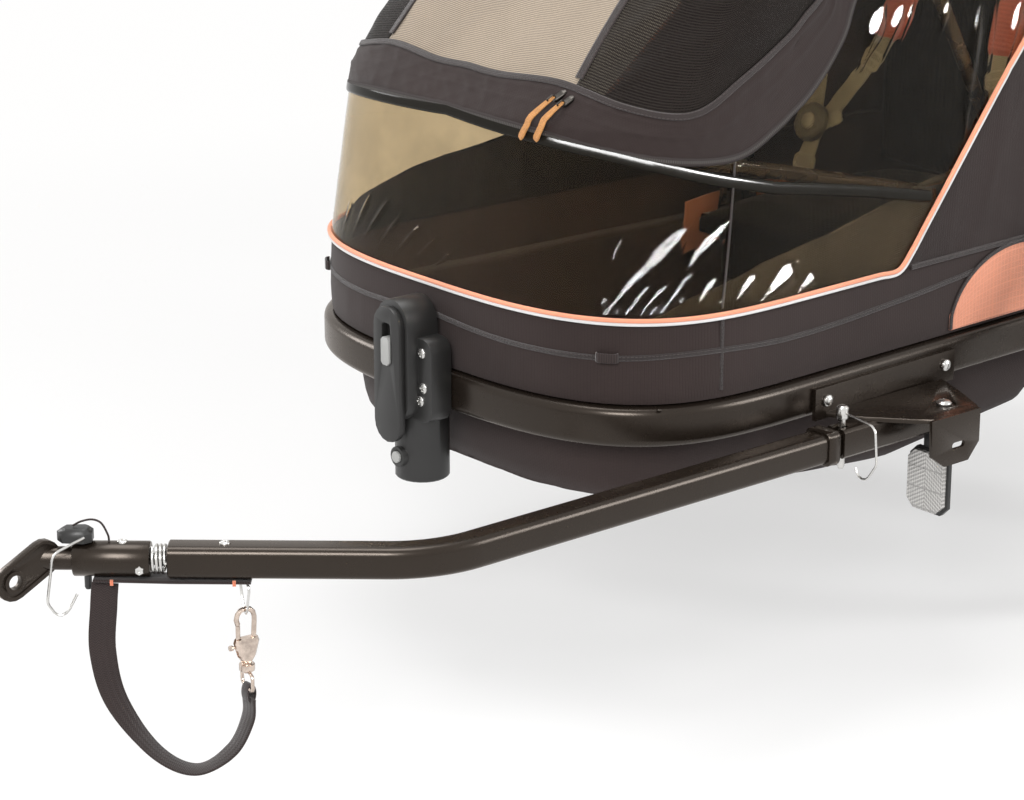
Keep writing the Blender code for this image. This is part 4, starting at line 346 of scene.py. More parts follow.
def pleat(points, start, end, foot, head, slope):
    """A leaf-shaped ridge with plain flanks: slope times what is left of its half width, once the
    distance from its line is taken off. The half width falls from foot to nothing, plus head times
    a sine that peaks past the middle; the crest and the feet are rounded."""
    crest, toe = 0.0006, 0.0004
    near, away = beside(points, start, end)
    half = foot * (1 - near) + head * np.sin(PI * near ** 1.7)
    left = half - np.sqrt(away ** 2 + crest ** 2)
    return slope * 0.5 * (left + np.sqrt(left ** 2 + toe ** 2))


# Meshes

def arc_uv(points, loop_rows, loop_cols):
    """Texture coordinates in metres: mean distance across the columns, then along the rows."""
    if loop_cols:
        points = np.concatenate([points, points[:, :1]], 1)
    if loop_rows:
        points = np.concatenate([points, points[:1]], 0)
    across = np.linalg.norm(np.diff(points, axis=1), axis=2).mean(0)
    along = np.linalg.norm(np.diff(points, axis=0), axis=2).mean(1)
    return np.stack(np.meshgrid(*[np.append(0, np.cumsum(k)) for k in (across, along)]), -1)


def patch(points, loop_rows=False, loop_cols=False, caps=False, uv=None):
    """A grid of points, rows by columns, with the way it closes."""
    return dict(points=points, rows=loop_rows, cols=loop_cols, caps=caps,
                uv=arc_uv(points, loop_rows, loop_cols) if uv is None else uv)


def tube(path, section, looped=False, **options):
    """A closed tube: a section swept along a path, capped unless it loops."""
    return patch(swept(path, section, looped=looped, **options), looped, True, not looped)


def lathe(profile, origin, axis, segments=64, ring=False):
    """A profile of radius and distance spun round an axis: capped at its ends, or a closed ring."""
    profile = np.asarray(profile, float)
    axis, side, top = axes_round(axis)
    angle = 2 * PI * np.arange(segments) / segments
    spoke = np.cos(angle)[:, None] * side + np.sin(angle)[:, None] * top
    grid = (np.asarray(origin, float) + profile[:, 1, None, None] * axis
            + profile[:, 0, None, None] * spoke)
    return patch(grid, ring, True, not ring)


def make(name, patches, look, slot, smooth=50.0, body="frame", closed=True, replaces=""):
    """One piece from patches: quads between neighbouring points, ends capped, doubles merged."""
    points, faces, uvs = [], [], []
    base = 0
    for part in patches:
        grid = part["points"]
        rows, cols = grid.shape[:2]
        a, b = [k.ravel() for k in np.meshgrid(np.arange(rows - (not part["rows"])),
                                               np.arange(cols - (not part["cols"])),
                                               indexing="ij")]
        down, over = np.stack([a, a, a + 1, a + 1], 1), np.stack([b, b + 1, b + 1, b], 1)
        faces += (base + down % rows * cols + over % cols).tolist()
        uvs.append(part["uv"].reshape(-1, 2)[(down * part["uv"].shape[1] + over).ravel()])
        if part["caps"]:
            faces.append((base + np.arange(cols)[::-1]).tolist())
            faces.append((base + (rows - 1) * cols + np.arange(cols)).tolist())
            uvs.append(np.zeros((2 * cols, 2)))
        points.append(grid.reshape(-1, 3) + ORIGIN)
        base += rows * cols
    mesh = bpy.data.meshes.new(name)
    mesh.from_pydata(np.concatenate(points).tolist(), [], faces)
    layer = mesh.uv_layers.new(name="metres")
    layer.data.foreach_set("uv", np.concatenate(uvs).astype(np.float32).ravel())
    work = bmesh.new()
    work.from_mesh(mesh)
    bmesh.ops.remove_doubles(work, verts=work.verts, dist=1e-6)
    if closed:
        bmesh.ops.recalc_face_normals(work, faces=work.faces)
    work.to_mesh(mesh)
    work.free()
    mesh.shade_smooth()
    mesh.set_sharp_from_angle(angle=np.radians(smooth))
    mesh.materials.append(LOOKS[look])
    made = bpy.data.objects.new(name, mesh)
    bpy.context.scene.collection.objects.link(made)
    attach(made, body)
    if replaces:
        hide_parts(replaces)
    return made


def fill_hole(obj, belongs, below=None):
    """Fills the hole whose edges belong to it; faces under the height below then look downwards."""
    work = bmesh.new()
    work.from_mesh(obj.data)
    rim = [edge for edge in work.edges if edge.is_boundary and belongs(edge)]
    bmesh.ops.holes_fill(work, edges=rim, sides=0)
    bmesh.ops.recalc_face_normals(work, faces=work.faces)
    if below is not None:
        low = [face for face in work.faces if face.calc_center_median().z < below]
        if sum(face.normal.z * face.calc_area() for face in low) > 0:
            bmesh.ops.reverse_faces(work, faces=work.faces)
    work.to_mesh(obj.data)
    work.free()


def modify(obj, name, kind, **settings):
    """Adds a modifier with its settings."""
    step = obj.modifiers.new(name, kind)
    for key, value in settings.items():
        setattr(step, key, value)


def shell(obj, thick):
    """Gives an open sheet its thickness, inwards from the face that shows."""
    modify(obj, "thickness", "SOLIDIFY", thickness=thick, offset=-1.0)


def panel(name, grid, look, slot, thick, replaces=""):
    """A stretched sheet on the frame, with its thickness."""
    made = make(name, [patch(grid)], look, slot, 60.0, closed=False, replaces=replaces)
    shell(made, thick)
    return made


def soften(*objs, low=0.43):
    """Gives each piece a mesh of its own."""
    for obj in objs:
        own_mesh(obj)


def wall_route(points, count):
    """Stations and heights of an even line over the wall through the given points."""
    points = np.asarray(points, float)
    return smooth_line(np.stack([nearest_station(points), points[:, 2]], 1), count)


def centred_route(points, count):
    """An even line over the wall through points that start at the centre, and its mirror image."""
    left = wall_route(points, count)
    left[0, 0] = 0.0
    return mirrored(left)


def level_route(station, low, high=None, count=60):
    """A straight route over the wall, up one station, or level along many."""
    if high is None:
        return np.stack([station, np.full(len(station), low)], 1)
    return np.stack([np.full(count, station), np.linspace(low, high, count)], 1)


def trim(route, wide, high, lift=0.0, crown=6, across=9):
    """A flat tape laid on the wall: its top is a bar with rounded edges, its underside is sunk."""
    sunk = 0.0006
    point, out = wall_frame(route[:, 0], route[:, 1])
    side = unit(np.cross(tangents(point), out))
    t = np.linspace(-1, 1, across)
    top = lift + high * (1 - np.abs(t) ** crown) ** 0.5
    section = np.stack([np.concatenate([t, t[::-1]]) * wide / 2,
                        np.concatenate([top, np.full(across, lift - sunk)])], 1)
    grid = loft(point, side, out, section)
    uv = np.meshgrid(np.concatenate([t, t[::-1], t[:1]]), run_of(grid[:, across // 2]))
    return patch(grid, False, True, True, np.stack(uv, -1))


def cord_on_wall(route, radius, shift=0.0, looped=False):
    """A round piping cord lying on the wall, shifted across its own line."""
    sides, sunk = 14, 0.75
    point, out = wall_frame(route[:, 0], route[:, 1])
    side = unit(np.cross(tangents(point, looped), out))
    angle = 2 * PI * np.arange(sides) / sides
    section = np.stack([shift + radius * np.cos(angle), radius * sunk + radius * np.sin(angle)], 1)
    return patch(loft(point, side, out, section), looped, True, not looped)


def phillips(origin, axis, radius, high):
    """A pan-head screw: its height falls off to the rim as an ellipse, with a cross pressed in."""
    axis, side, top = axes_round(axis)
    share = np.concatenate([np.linspace(0, 0.94, 16), [0.985, 1.0]])
    angle = 2 * PI * np.arange(48) / 48
    r, a = np.meshgrid(share, angle, indexing="ij")
    x, y = r * np.cos(a + 0.5), r * np.sin(a + 0.5)
    level = high * (0.35 + 0.65 * np.sqrt(np.clip(1 - r ** 2.4, 0, 1)))
    slot = np.minimum(np.abs(x), np.abs(y)) < 0.11
    reach = np.maximum(np.abs(x), np.abs(y)) < 0.52
    level = level - 0.6 * high * (slot & reach) * (1 - r)
    grid = (np.asarray(origin, float) + side * (x * radius)[..., None]
            + top * (y * radius)[..., None] + axis * level[..., None])
    foot = grid[-1:] - axis * (high * 0.4 + 0.0004)
    return patch(np.concatenate([grid, foot]), False, True, True)


def hex_head(origin, axis, radius, high):
    """A hexagon nut with a chamfer: six flat sides from a rounded-off polar radius."""
    angle = 2 * PI * np.arange(48) / 48
    flat = np.cos(PI / 6) / np.cos((angle + PI / 6) % (PI / 3) - PI / 6)
    axis, side, top = axes_round(axis)
    rings = []
    for share, level in ((1.0, -0.0003), (1.0, high * 0.8), (0.88, high), (0.35, high),
                         (0.33, high * 0.6)):
        r = radius * share * (flat if share == 1.0 else np.minimum(flat * 1.02, 0.95))
        rings.append(np.asarray(origin, float) + side * (r * np.cos(angle))[:, None]
                     + top * (r * np.sin(angle))[:, None] + axis * level)
    return patch(np.stack(rings), False, True, True)


# Looks

def start_look(name, colour, roughness, metallic=0.0, **sockets):
    """A shader with the values that are the same all over the surface."""
    made = bpy.data.materials.new(name)
    made.use_nodes = True
    shader = made.node_tree.nodes["Principled BSDF"]
    shader.inputs["Base Color"].default_value = (*colour, 1.0)
    shader.inputs["Roughness"].default_value = roughness
    shader.inputs["Metallic"].default_value = metallic
    for key, value in sockets.items():
        shader.inputs[key.replace("_", " ")].default_value = value
    return made, made.node_tree, shader


def node(tree, kind, inputs=(), **settings):
    """A node with its settings, its inputs given as values or as sockets to link."""
    made = tree.nodes.new(kind)
    for key, value in settings.items():
        setattr(made, key, value)
    for key, value in dict(inputs).items():
        if isinstance(value, bpy.types.NodeSocket):
            tree.links.new(value, made.inputs[key])
        else:
            made.inputs[key].default_value = value
    return made


def maths(tree, operation, a, b=0.0, c=0.0):
    """One step of arithmetic on up to three values."""
    return node(tree, "ShaderNodeMath", {0: a, 1: b, 2: c}, operation=operation).outputs[0]


def weighed(tree, a, b, share):
    """A sum of two values: share times the first, and what is left times the second."""
    return maths(tree, "ADD", maths(tree, "MULTIPLY", a, share),
                 maths(tree, "MULTIPLY", b, 1 - share))


def place_of(tree, source="Object", scale=(1, 1, 1), turn=(0, 0, 0)):
    """Coordinates of the piece, from its object space or its own texture map, scaled and turned."""
    where = node(tree, "ShaderNodeTexCoord").outputs[source]
    return node(tree, "ShaderNodeMapping",
                {"Vector": where, "Scale": scale, "Rotation": turn}).outputs[0]


def split_place(tree, source="UV"):
    """The three coordinates of the piece by themselves."""
    where = node(tree, "ShaderNodeTexCoord").outputs[source]
    return node(tree, "ShaderNodeSeparateXYZ", {0: where}).outputs


def noise(tree, where, scale, detail=3.0, rough=0.55):
    """Cloudy values from nought to one, a sum of ever finer octaves."""
    return node(tree, "ShaderNodeTexNoise", {"Vector": where, "Scale": scale, "Detail": detail,
                                             "Roughness": rough}).outputs["Fac"]


def stripes(tree, where, period, direction="X"):
    """Bands one period apart: the wave texture turns a full circle every 0.314 / scale."""
    return node(tree, "ShaderNodeTexWave",
                {"Vector": where, "Scale": 0.31416 / period, "Distortion": 0.0},
                wave_type="BANDS", bands_direction=direction, wave_profile="SIN").outputs["Fac"]


def tint(tree, shader, colour, factor, low=0.82, high=1.2):
    """Base colour between a darker and a lighter tone of one colour."""
    ramp = node(tree, "ShaderNodeValToRGB", {"Fac": factor})
    for stop, position, share in zip(ramp.color_ramp.elements, (0.3, 0.7), (low, high)):
        stop.position = position
        stop.color = (*shade(colour, share), 1)
    tree.links.new(ramp.outputs["Color"], shader.inputs["Base Color"])
    return ramp.outputs["Color"]


def spread(tree, shader, factor, low, high):
    """Roughness that wanders between two values."""
    made = node(tree, "ShaderNodeMapRange", {"Value": factor, "To Min": low, "To Max": high})
    tree.links.new(made.outputs["Result"], shader.inputs["Roughness"])


def bump(tree, shader, height, distance, strength=1.0):
    """Relief of the surface: the height times the distance, as a change of the normal."""
    made = node(tree, "ShaderNodeBump",
                {"Height": height, "Distance": distance, "Strength": strength})
    tree.links.new(made.outputs["Normal"], shader.inputs["Normal"])


def overlay(tree, shader, factor, under, over):
    """Base colour that changes from one colour to another where the factor is one."""
    mixed = node(tree, "ShaderNodeMix", {"Factor": factor, 6: under, 7: (*over, 1)},
                 data_type="RGBA")
    tree.links.new(mixed.outputs[2], shader.inputs["Base Color"])


def shade(colour, share):
    """A colour made darker or lighter by one factor."""
    return tuple(min(c * share, 1) for c in colour)


def speckled(name, colour, roughness, metallic=0.0, grain=1000.0, depth=0.00008, spread_by=0.06,
             contrast=0.12, **sockets):
    """Paint, plastic, rubber or metal: broad patches of tone, and a fine grain in the surface."""
    made, tree, shader = start_look(name, colour, roughness, metallic, **sockets)
    where = place_of(tree)
    tint(tree, shader, colour, noise(tree, where, 14.0, 4.0), 1 - contrast, 1 + contrast)
    spread(tree, shader, noise(tree, where, 45.0, 5.0), roughness - spread_by,
           roughness + spread_by)
    bump(tree, shader, noise(tree, where, grain, 2.0), depth)
    return made


def brushed(name, colour, roughness, grain=(40.0, 40.0, 1400.0), contrast=0.18):
    """Bare metal: fine lines drawn out along one axis in tone, roughness and surface."""
    made, tree, shader = start_look(name, colour, roughness, 1.0)
    lines = noise(tree, place_of(tree, "Object", grain), 1.0, 4.0, 0.7)
    cloud = noise(tree, place_of(tree), 60.0, 4.0)
    tint(tree, shader, colour, weighed(tree, lines, cloud, 0.5), 1 - contrast, 1 + contrast)
    spread(tree, shader, lines, roughness - 0.07, roughness + 0.1)
    bump(tree, shader, lines, 0.00004)
    return made


def woven(name, colour, thread=0.0016, roughness=0.85, depth=0.0002, ripstop=0.0, sheen=0.25,
          source="UV", contrast=0.16):
    """Woven cloth: warp and weft stripes take turns, the crests catch light, broad tones wander,
    and a heavier thread crosses every few millimetres where the cloth is ripstop."""
    made, tree, shader = start_look(name, colour, roughness, Sheen_Weight=sheen,
                                    Sheen_Roughness=0.5, Specular_IOR_Level=0.12)
    where = place_of(tree, source)
    warp, weft = stripes(tree, where, thread, "X"), stripes(tree, where, thread, "Y")
    pick = stripes(tree, where, 2 * thread, "X")
    weave = maths(tree, "ADD", maths(tree, "MULTIPLY", warp, pick),
                  maths(tree, "MULTIPLY", weft, maths(tree, "SUBTRACT", 1.0, pick)))
    if ripstop:
        lines = [maths(tree, "POWER", stripes(tree, where, ripstop, way), 14.0) for way in "XY"]
        square = maths(tree, "MAXIMUM", *lines)
        weave = maths(tree, "ADD", weave, maths(tree, "MULTIPLY", square, 0.9))
    broad = noise(tree, place_of(tree), 9.0, 5.0)
    tint(tree, shader, colour, weighed(tree, weave, broad, 0.35), 1 - contrast,
         1 + contrast * 1.3)
    spread(tree, shader, broad, roughness - 0.08, min(roughness + 0.08, 1.0))
    bump(tree, shader, weave, depth)
    return made


def webbing(name, colour, rib=0.0024, edge=0.0, thread=None):
    """Webbing: ribs run across the tape as short slanted twills, and a row of stitches shows as
    dashes near each edge. The texture map holds -1 to 1 across the tape and metres along it."""
    made, tree, shader = start_look(name, colour, 0.75, Sheen_Weight=0.3, Sheen_Roughness=0.4,
                                    Specular_IOR_Level=0.3)
    across, along = split_place(tree)[:2]
    zigzag = maths(tree, "PINGPONG", maths(tree, "MULTIPLY", across, 4.0), 1.0)
    phase = maths(tree, "ADD", maths(tree, "DIVIDE", along, rib), zigzag)
    ribs = maths(tree, "SINE", maths(tree, "MULTIPLY", phase, 2 * PI))
    height = maths(tree, "MULTIPLY_ADD", ribs, 0.5, 0.5)
    broad = noise(tree, place_of(tree), 30.0, 4.0)
    body = tint(tree, shader, colour, weighed(tree, height, broad, 0.5), 0.7, 1.35)
    if edge:
        off = maths(tree, "SUBTRACT", maths(tree, "ABSOLUTE", across), edge)
        near = maths(tree, "LESS_THAN", maths(tree, "ABSOLUTE", off), 0.07)
        stitch = maths(tree, "FRACT", maths(tree, "DIVIDE", along, 0.0042))
        sewn = maths(tree, "MULTIPLY", near, maths(tree, "GREATER_THAN", stitch, 0.32))
        overlay(tree, shader, sewn, body, thread)
        height = maths(tree, "ADD", height, maths(tree, "MULTIPLY", sewn, 1.5))
    bump(tree, shader, height, 0.0003)
    return made


def film_look(name, colour, haze, **sockets):
    """Tinted clear vinyl: light passes through and takes the tint, the faces stay glossy, the tone
    and the gloss wander a little, and shallow waves lie in the surface."""
    made, tree, shader = start_look(name, colour, haze, IOR=1.16, **sockets)
    where = place_of(tree)
    tint(tree, shader, colour, noise(tree, where, 18.0, 5.0), 0.90, 1.06)
    spread(tree, shader, noise(tree, where, 60.0, 4.0), haze * 0.6, haze * 1.4)
    bump(tree, shader, noise(tree, where, 30.0, 2.0), 0.0006, 0.08)
    return made


def mesh_look(name, colour, pitch=0.0021, solid=0.62, share=0.62):
    """Open mesh cloth: thin threads cross at a small pitch, and the gaps between them are open."""
    made, tree, shader = start_look(name, colour, 0.8, Sheen_Weight=0.1, Specular_IOR_Level=0.12)
    where = place_of(tree, "UV")
    threads = maths(tree, "MAXIMUM", stripes(tree, where, pitch, "Y"),
                    maths(tree, "MULTIPLY", stripes(tree, where, pitch * 0.8, "X"), share))
    hole = maths(tree, "GREATER_THAN", threads, 0.55)
    broad = noise(tree, place_of(tree), 12.0, 4.0)
    tint(tree, shader, colour, weighed(tree, threads, broad, 0.6), 0.7, 1.2)
    alpha = node(tree, "ShaderNodeMapRange", {"Value": hole, "To Min": solid, "To Max": 1.0})
    tree.links.new(alpha.outputs["Result"], shader.inputs["Alpha"])
    bump(tree, shader, threads, 0.0003)
    return made


def zip_look(name, colour, teeth):
    """Zip tape: a row of small teeth along the middle, cloth ribs beside it."""
    made, tree, shader = start_look(name, colour, 0.7, Specular_IOR_Level=0.35)
    across, along = split_place(tree)[:2]
    middle = maths(tree, "LESS_THAN", maths(tree, "ABSOLUTE", across), 0.33)
    tooth = maths(tree, "FRACT", maths(tree, "DIVIDE", along, 0.0024))
    row = maths(tree, "MULTIPLY", middle, maths(tree, "GREATER_THAN", tooth, 0.45))
    overlay(tree, shader, row, (*colour, 1), teeth)
    ribs = maths(tree, "MULTIPLY", noise(tree, place_of(tree), 900.0), 0.3)
    bump(tree, shader, maths(tree, "ADD", row, ribs), 0.0006)
    return made


def lens_look(name, colour):
    """Reflector lens: slanted flutes that meet in a chevron at the middle, over a grid of small
    prisms, with dark seams across."""
    made, tree, shader = start_look(name, colour, 0.12, Coat_Weight=1.0, Coat_Roughness=0.03)
    x, _, z = split_place(tree, "Object")
    side = maths(tree, "ABSOLUTE", maths(tree, "SUBTRACT", x, 0.333))
    slant = maths(tree, "MULTIPLY_ADD", side, 0.6, z)
    flutes = maths(tree, "PINGPONG", maths(tree, "DIVIDE", slant, 0.0022), 1.0)
    prisms = maths(tree, "PINGPONG", maths(tree, "DIVIDE", side, 0.0016), 1.0)
    level = maths(tree, "DIVIDE", maths(tree, "ADD", z, 0.004), 0.0225)
    seam = maths(tree, "LESS_THAN", maths(tree, "FRACT", level), 0.09)
    height = maths(tree, "ADD", flutes, maths(tree, "MULTIPLY", prisms, 0.6))
    tint(tree, shader, colour, maths(tree, "SUBTRACT", maths(tree, "MULTIPLY", height, 0.6), seam),
         0.62, 1.12)
    bump(tree, shader, height, 0.0007)
    return made


def leather_look(name, colour):
    """Leather: rounded cells with creases between them, darker in the creases."""
    made, tree, shader = start_look(name, colour, 0.55, Specular_IOR_Level=0.4)
    cells = node(tree, "ShaderNodeTexVoronoi", {"Vector": place_of(tree), "Scale": 900.0},
                 feature="DISTANCE_TO_EDGE").outputs["Distance"]
    grain = maths(tree, "MINIMUM", maths(tree, "MULTIPLY", cells, 3.0), 1.0)
    broad = noise(tree, place_of(tree), 120.0)
    tint(tree, shader, colour, weighed(tree, grain, broad, 0.5), 0.7, 1.2)
    bump(tree, shader, grain, 0.0002)
    return made


def quilted(name, colour, pitch):
    """Air-mesh seat cloth: small rounded cells in offset rows."""
    made, tree, shader = start_look(name, colour, 0.88, Sheen_Weight=0.06, Specular_IOR_Level=0.1)
    where = place_of(tree, "Object", turn=(0.0, 0.0, PI / 4))
    cells = maths(tree, "MULTIPLY", stripes(tree, where, pitch, "X"),
                  stripes(tree, where, pitch, "Y"))
    broad = noise(tree, place_of(tree), 10.0, 4.0)
    tint(tree, shader, colour, weighed(tree, cells, broad, 0.5), 0.75, 1.3)
    bump(tree, shader, cells, 0.0005)
    return made


def colour_property(label, text, value):
    """A colour that a user may change."""
    return bpy.props.FloatVectorProperty(name=label, description=text, subtype="COLOR", size=3,
                                         min=0, max=1, default=value)


def length_property(label, text, value, low, high):
    """A length that a user may change."""
    return bpy.props.FloatProperty(name=label, description=text, default=value, min=low, max=high,
                                   unit="LENGTH")


class TRAILER_PG_colours(bpy.types.PropertyGroup):
    """Base colours of the finishes."""
    paint: colour_property("Frame paint", "Powder coat of the tubes and plates",
                           (0.0125, 0.0088, 0.0064))
    cloth: colour_property("Body cloth", "Charcoal cloth of the tub and cover",
                           (0.0262, 0.0180, 0.0168))
    accent: colour_property("Accent cloth", "Side panels and piping", (0.69, 0.275, 0.168))
    silver: colour_property("Reflective piping", "Pale cord below the piping", (0.62, 0.62, 0.62))
    film: colour_property("Window film", "Tint of the clear windows", (0.70, 0.61, 0.46))
    harness: colour_property("Harness webbing", "Grey-olive straps and fittings",
                             (0.26, 0.24, 0.18))
    pads: colour_property("Shoulder pads", "Brick-coloured pads", (0.38, 0.10, 0.075))
    strap: colour_property("Safety strap", "Black webbing of the tow arm", (0.022, 0.014, 0.013))
    seat: colour_property("Seat cloth", "Dark cloth of the cushions", (0.0046, 0.0038, 0.0033))


FILM_FOLD = 0.0022


class TRAILER_PG_sizes(bpy.types.PropertyGroup):
    """Sizes of the finish that a user may change."""
    thread: length_property("Thread pitch", "Distance between threads of the cloth",
                            0.0016, 0.0005, 0.01)
    ripstop: length_property("Ripstop square", "Side of a ripstop square", 0.0058, 0.002, 0.02)
    film_fold: length_property("Film fold", "Height of the folds in the front film",
                               FILM_FOLD, 0.0, 0.005)
    piping: length_property("Piping radius", "Radius of the two piping cords",
                            0.0023, 0.001, 0.004)
    tread: length_property("Tread depth", "Depth of the grooves in the tyres",
                           0.0014, 0.0, 0.004)


LOOKS = {}


def prepare_looks():
    """Every finish of the trailer, made once."""
    colours, sizes = bpy.context.scene.trailer_colours, bpy.context.scene.trailer_sizes
    cloth, accent, olive = colours.cloth, colours.accent, colours.harness
    clear = dict(haze=0.018, Transmission_Weight=1.0)
    LOOKS.update(
        frame=speckled("powder_coat", colours.paint, 0.27, 0.30, 1500.0, 0.00003, 0.05, 0.10,
                       Coat_Weight=0.08, Coat_Roughness=0.25,
                       Specular_Tint=(1.0, 0.86, 0.74, 1.0)),
        steel=brushed("zinc_plate", (0.63, 0.62, 0.60), 0.24),
        hook=brushed("pale_bronze_plate", (0.60, 0.50, 0.43), 0.20, (160.0,) * 3, 0.42),
        alloy=brushed("turned_alloy", (0.52, 0.52, 0.52), 0.32, (1200.0, 30.0, 30.0)),
        plastic=speckled("moulded_black", (0.014, 0.0135, 0.013), 0.42, grain=1300.0),
        grey=speckled("moulded_grey", (0.34, 0.34, 0.33), 0.45, grain=1300.0, depth=0.00006),
        dark_metal=brushed("dark_slider", (0.06, 0.055, 0.05), 0.32, (500.0,) * 3),
        rubber=speckled("tyre_rubber", (0.017, 0.0165, 0.016), 0.68, grain=700.0, depth=0.0002),
        foam=speckled("foam_grip", (0.018, 0.018, 0.018), 0.9, 0.0, 650.0, 0.0005, 0.05, 0.3),
        cloth=woven("body_cloth", cloth, sizes.thread, 0.72, sheen=0.10),
        tub_cloth=woven("tub_cloth", shade(cloth, 1.1), sizes.thread * 0.9, 0.75, sheen=0.10),
        salmon=woven("accent_ripstop", accent, sizes.thread, 0.7, 0.00025, sizes.ripstop, 0.3,
                     contrast=0.12),
        lining=woven("lining_cloth", shade(accent, 0.55), 0.0024),
        piping=woven("accent_piping", shade(accent, 1.08), 0.0013, 0.6, 0.0001, sheen=0.2),
        silver=woven("reflective_piping", colours.silver, 0.0011, 0.35, 0.0001, sheen=0.1),
        tape=webbing("edge_tape", shade(cloth, 0.9), 0.0016, 0.72, shade(cloth, 2.4)),
        seam=webbing("seam_tape", shade(cloth, 0.8), 0.0014, 0.55, shade(cloth, 2.6)),
        web=webbing("black_webbing", colours.strap),
        olive=webbing("harness_webbing", olive, edge=0.8, thread=(0.30, 0.28, 0.22)),
        olive_plastic=speckled("harness_fitting", shade(olive, 1.15), 0.34),
        buckle=speckled("buckle_shell", shade(olive, 0.34), 0.38),
        brick=woven("pad_cloth", colours.pads, 0.002, depth=0.0003, sheen=0.4, source="Object"),
        seat=quilted("seat_mesh", colours.seat, 0.0052),
        seat_trim=woven("seat_trim_cloth", shade(colours.seat, 2.2), 0.0018, sheen=0.08),
        film=film_look("window_film", colours.film, **clear),
        side_film=film_look("side_film", colours.film, **clear),
        pale_mesh=mesh_look("sand_mesh", (0.325, 0.267, 0.208)),
        dark_mesh=mesh_look("charcoal_mesh", (0.0118, 0.0086, 0.0070)),
        zip=zip_look("zip_tape", shade(cloth, 0.75), (0.06, 0.055, 0.05)),
        lens=lens_look("reflector_lens", (0.50, 0.485, 0.465)),
        leather=leather_look("tan_leather", (0.52, 0.24, 0.075)),
        rim_film=film_look("rim_film", shade(colours.film, 0.016), 0.14, Specular_IOR_Level=0.6),
    )


# Stage

def aimed(place, aim):
    """The rotation that turns a lamp or a camera at a place towards a point."""
    return (Vector(aim) - Vector(place)).to_track_quat("-Z", "Y").to_euler()


def seen_rays(tree):
    """One for rays from the camera, from gloss and through clear film, nought for diffuse ones."""
    path = node(tree, "ShaderNodeLightPath").outputs
    return maths(tree, "MAXIMUM", path["Is Camera Ray"],
                 maths(tree, "MAXIMUM", path["Is Glossy Ray"], path["Is Transmission Ray"]))


def build_floor():
    """A pale floor that keeps the shadow and fades to an even white with distance."""
    reach = 40.0
    mesh = bpy.data.meshes.new("floor")
    mesh.from_pydata([(-reach, -reach, 0), (reach, -reach, 0), (reach, reach, 0),
                      (-reach, reach, 0)], [], [(0, 1, 2, 3)])
    ground = bpy.data.objects.new("floor", mesh)
    bpy.context.scene.collection.objects.link(ground)
    look = bpy.data.materials.new("pale_floor")
    look.use_nodes = True
    tree = look.node_tree
    tree.nodes.clear()
    where = node(tree, "ShaderNodeTexCoord").outputs["Object"]
    far = node(tree, "ShaderNodeVectorMath", {0: where}, operation="LENGTH").outputs["Value"]
    fade = node(tree, "ShaderNodeMapRange", {"Value": far, "From Min": 0.9, "From Max": 2.6},
                interpolation_type="SMOOTHSTEP").outputs["Result"]
    cloth = node(tree, "ShaderNodeBsdfDiffuse", {"Color": (0.82, 0.82, 0.82, 1)}).outputs[0]
    glow = node(tree, "ShaderNodeEmission", {"Color": (1.0, 0.995, 0.99, 1), "Strength": 1.0})
    pale = node(tree, "ShaderNodeMixShader", {0: maths(tree, "MULTIPLY_ADD", fade, 0.45, 0.55),
                                              1: cloth, 2: glow.outputs[0]})
    mixed = node(tree, "ShaderNodeMixShader", {0: seen_rays(tree), 1: cloth, 2: pale.outputs[0]})
    out = node(tree, "ShaderNodeOutputMaterial", {"Surface": mixed.outputs[0]})
    out.is_active_output = True
    mesh.materials.append(look)


# Name, place, aim, width, height, watts, and whether the lamp lights the clear film alone
LAMPS = (
    ("key_box", (1.72, -2.24, 1.84), (0.2, -0.1, 0.45), 1.0, 1.0, 70.0, False),
    ("side_box", (2.5, 1.75, 1.55), (0.25, 0.2, 0.5), 0.8, 1.4, 50.0, False),
    ("top_box", (-0.3, -0.3, 3.3), (0.0, 0.0, 0.3), 1.6, 1.6, 50.0, False),
    ("left_box", (-2.9, -1.5, 1.5), (0.0, 0.0, 0.4), 0.8, 1.4, 40.0, False),
    ("front_card", (1.60, -3.45, 1.42), (0.2, 0.1, 0.2), 6.4, 1.25, 3600.0, True),
    ("side_card", (3.90, 0.60, 1.72), (0.27, 0.15, 0.5), 5.6, 1.25, 3300.0, True),
    ("near_card", (1.45, 0.55, 1.14), (0.25, 0.30, 0.85), 1.0, 0.62, 290.0, True),
)
CLEAR_FILM = "clear_film"


def build_lamps():
    """Soft boxes for the whole, and cards that the clear film alone reflects."""
    film_side = bpy.data.collections.new(CLEAR_FILM)
    for name, place, aim, wide, tall, power, film_only in LAMPS:
        light = bpy.data.lights.new(name, "AREA")
        light.shape = "RECTANGLE"
        light.size, light.size_y, light.energy = wide, tall, power
        lamp = bpy.data.objects.new(name, light)
        lamp.location = place
        lamp.rotation_euler = aimed(place, aim)
        bpy.context.scene.collection.objects.link(lamp)
        lamp.visible_camera = False
        if film_only:
            lamp.light_linking.receiver_collection = film_side
            lamp.visible_diffuse = lamp.visible_transmission = False


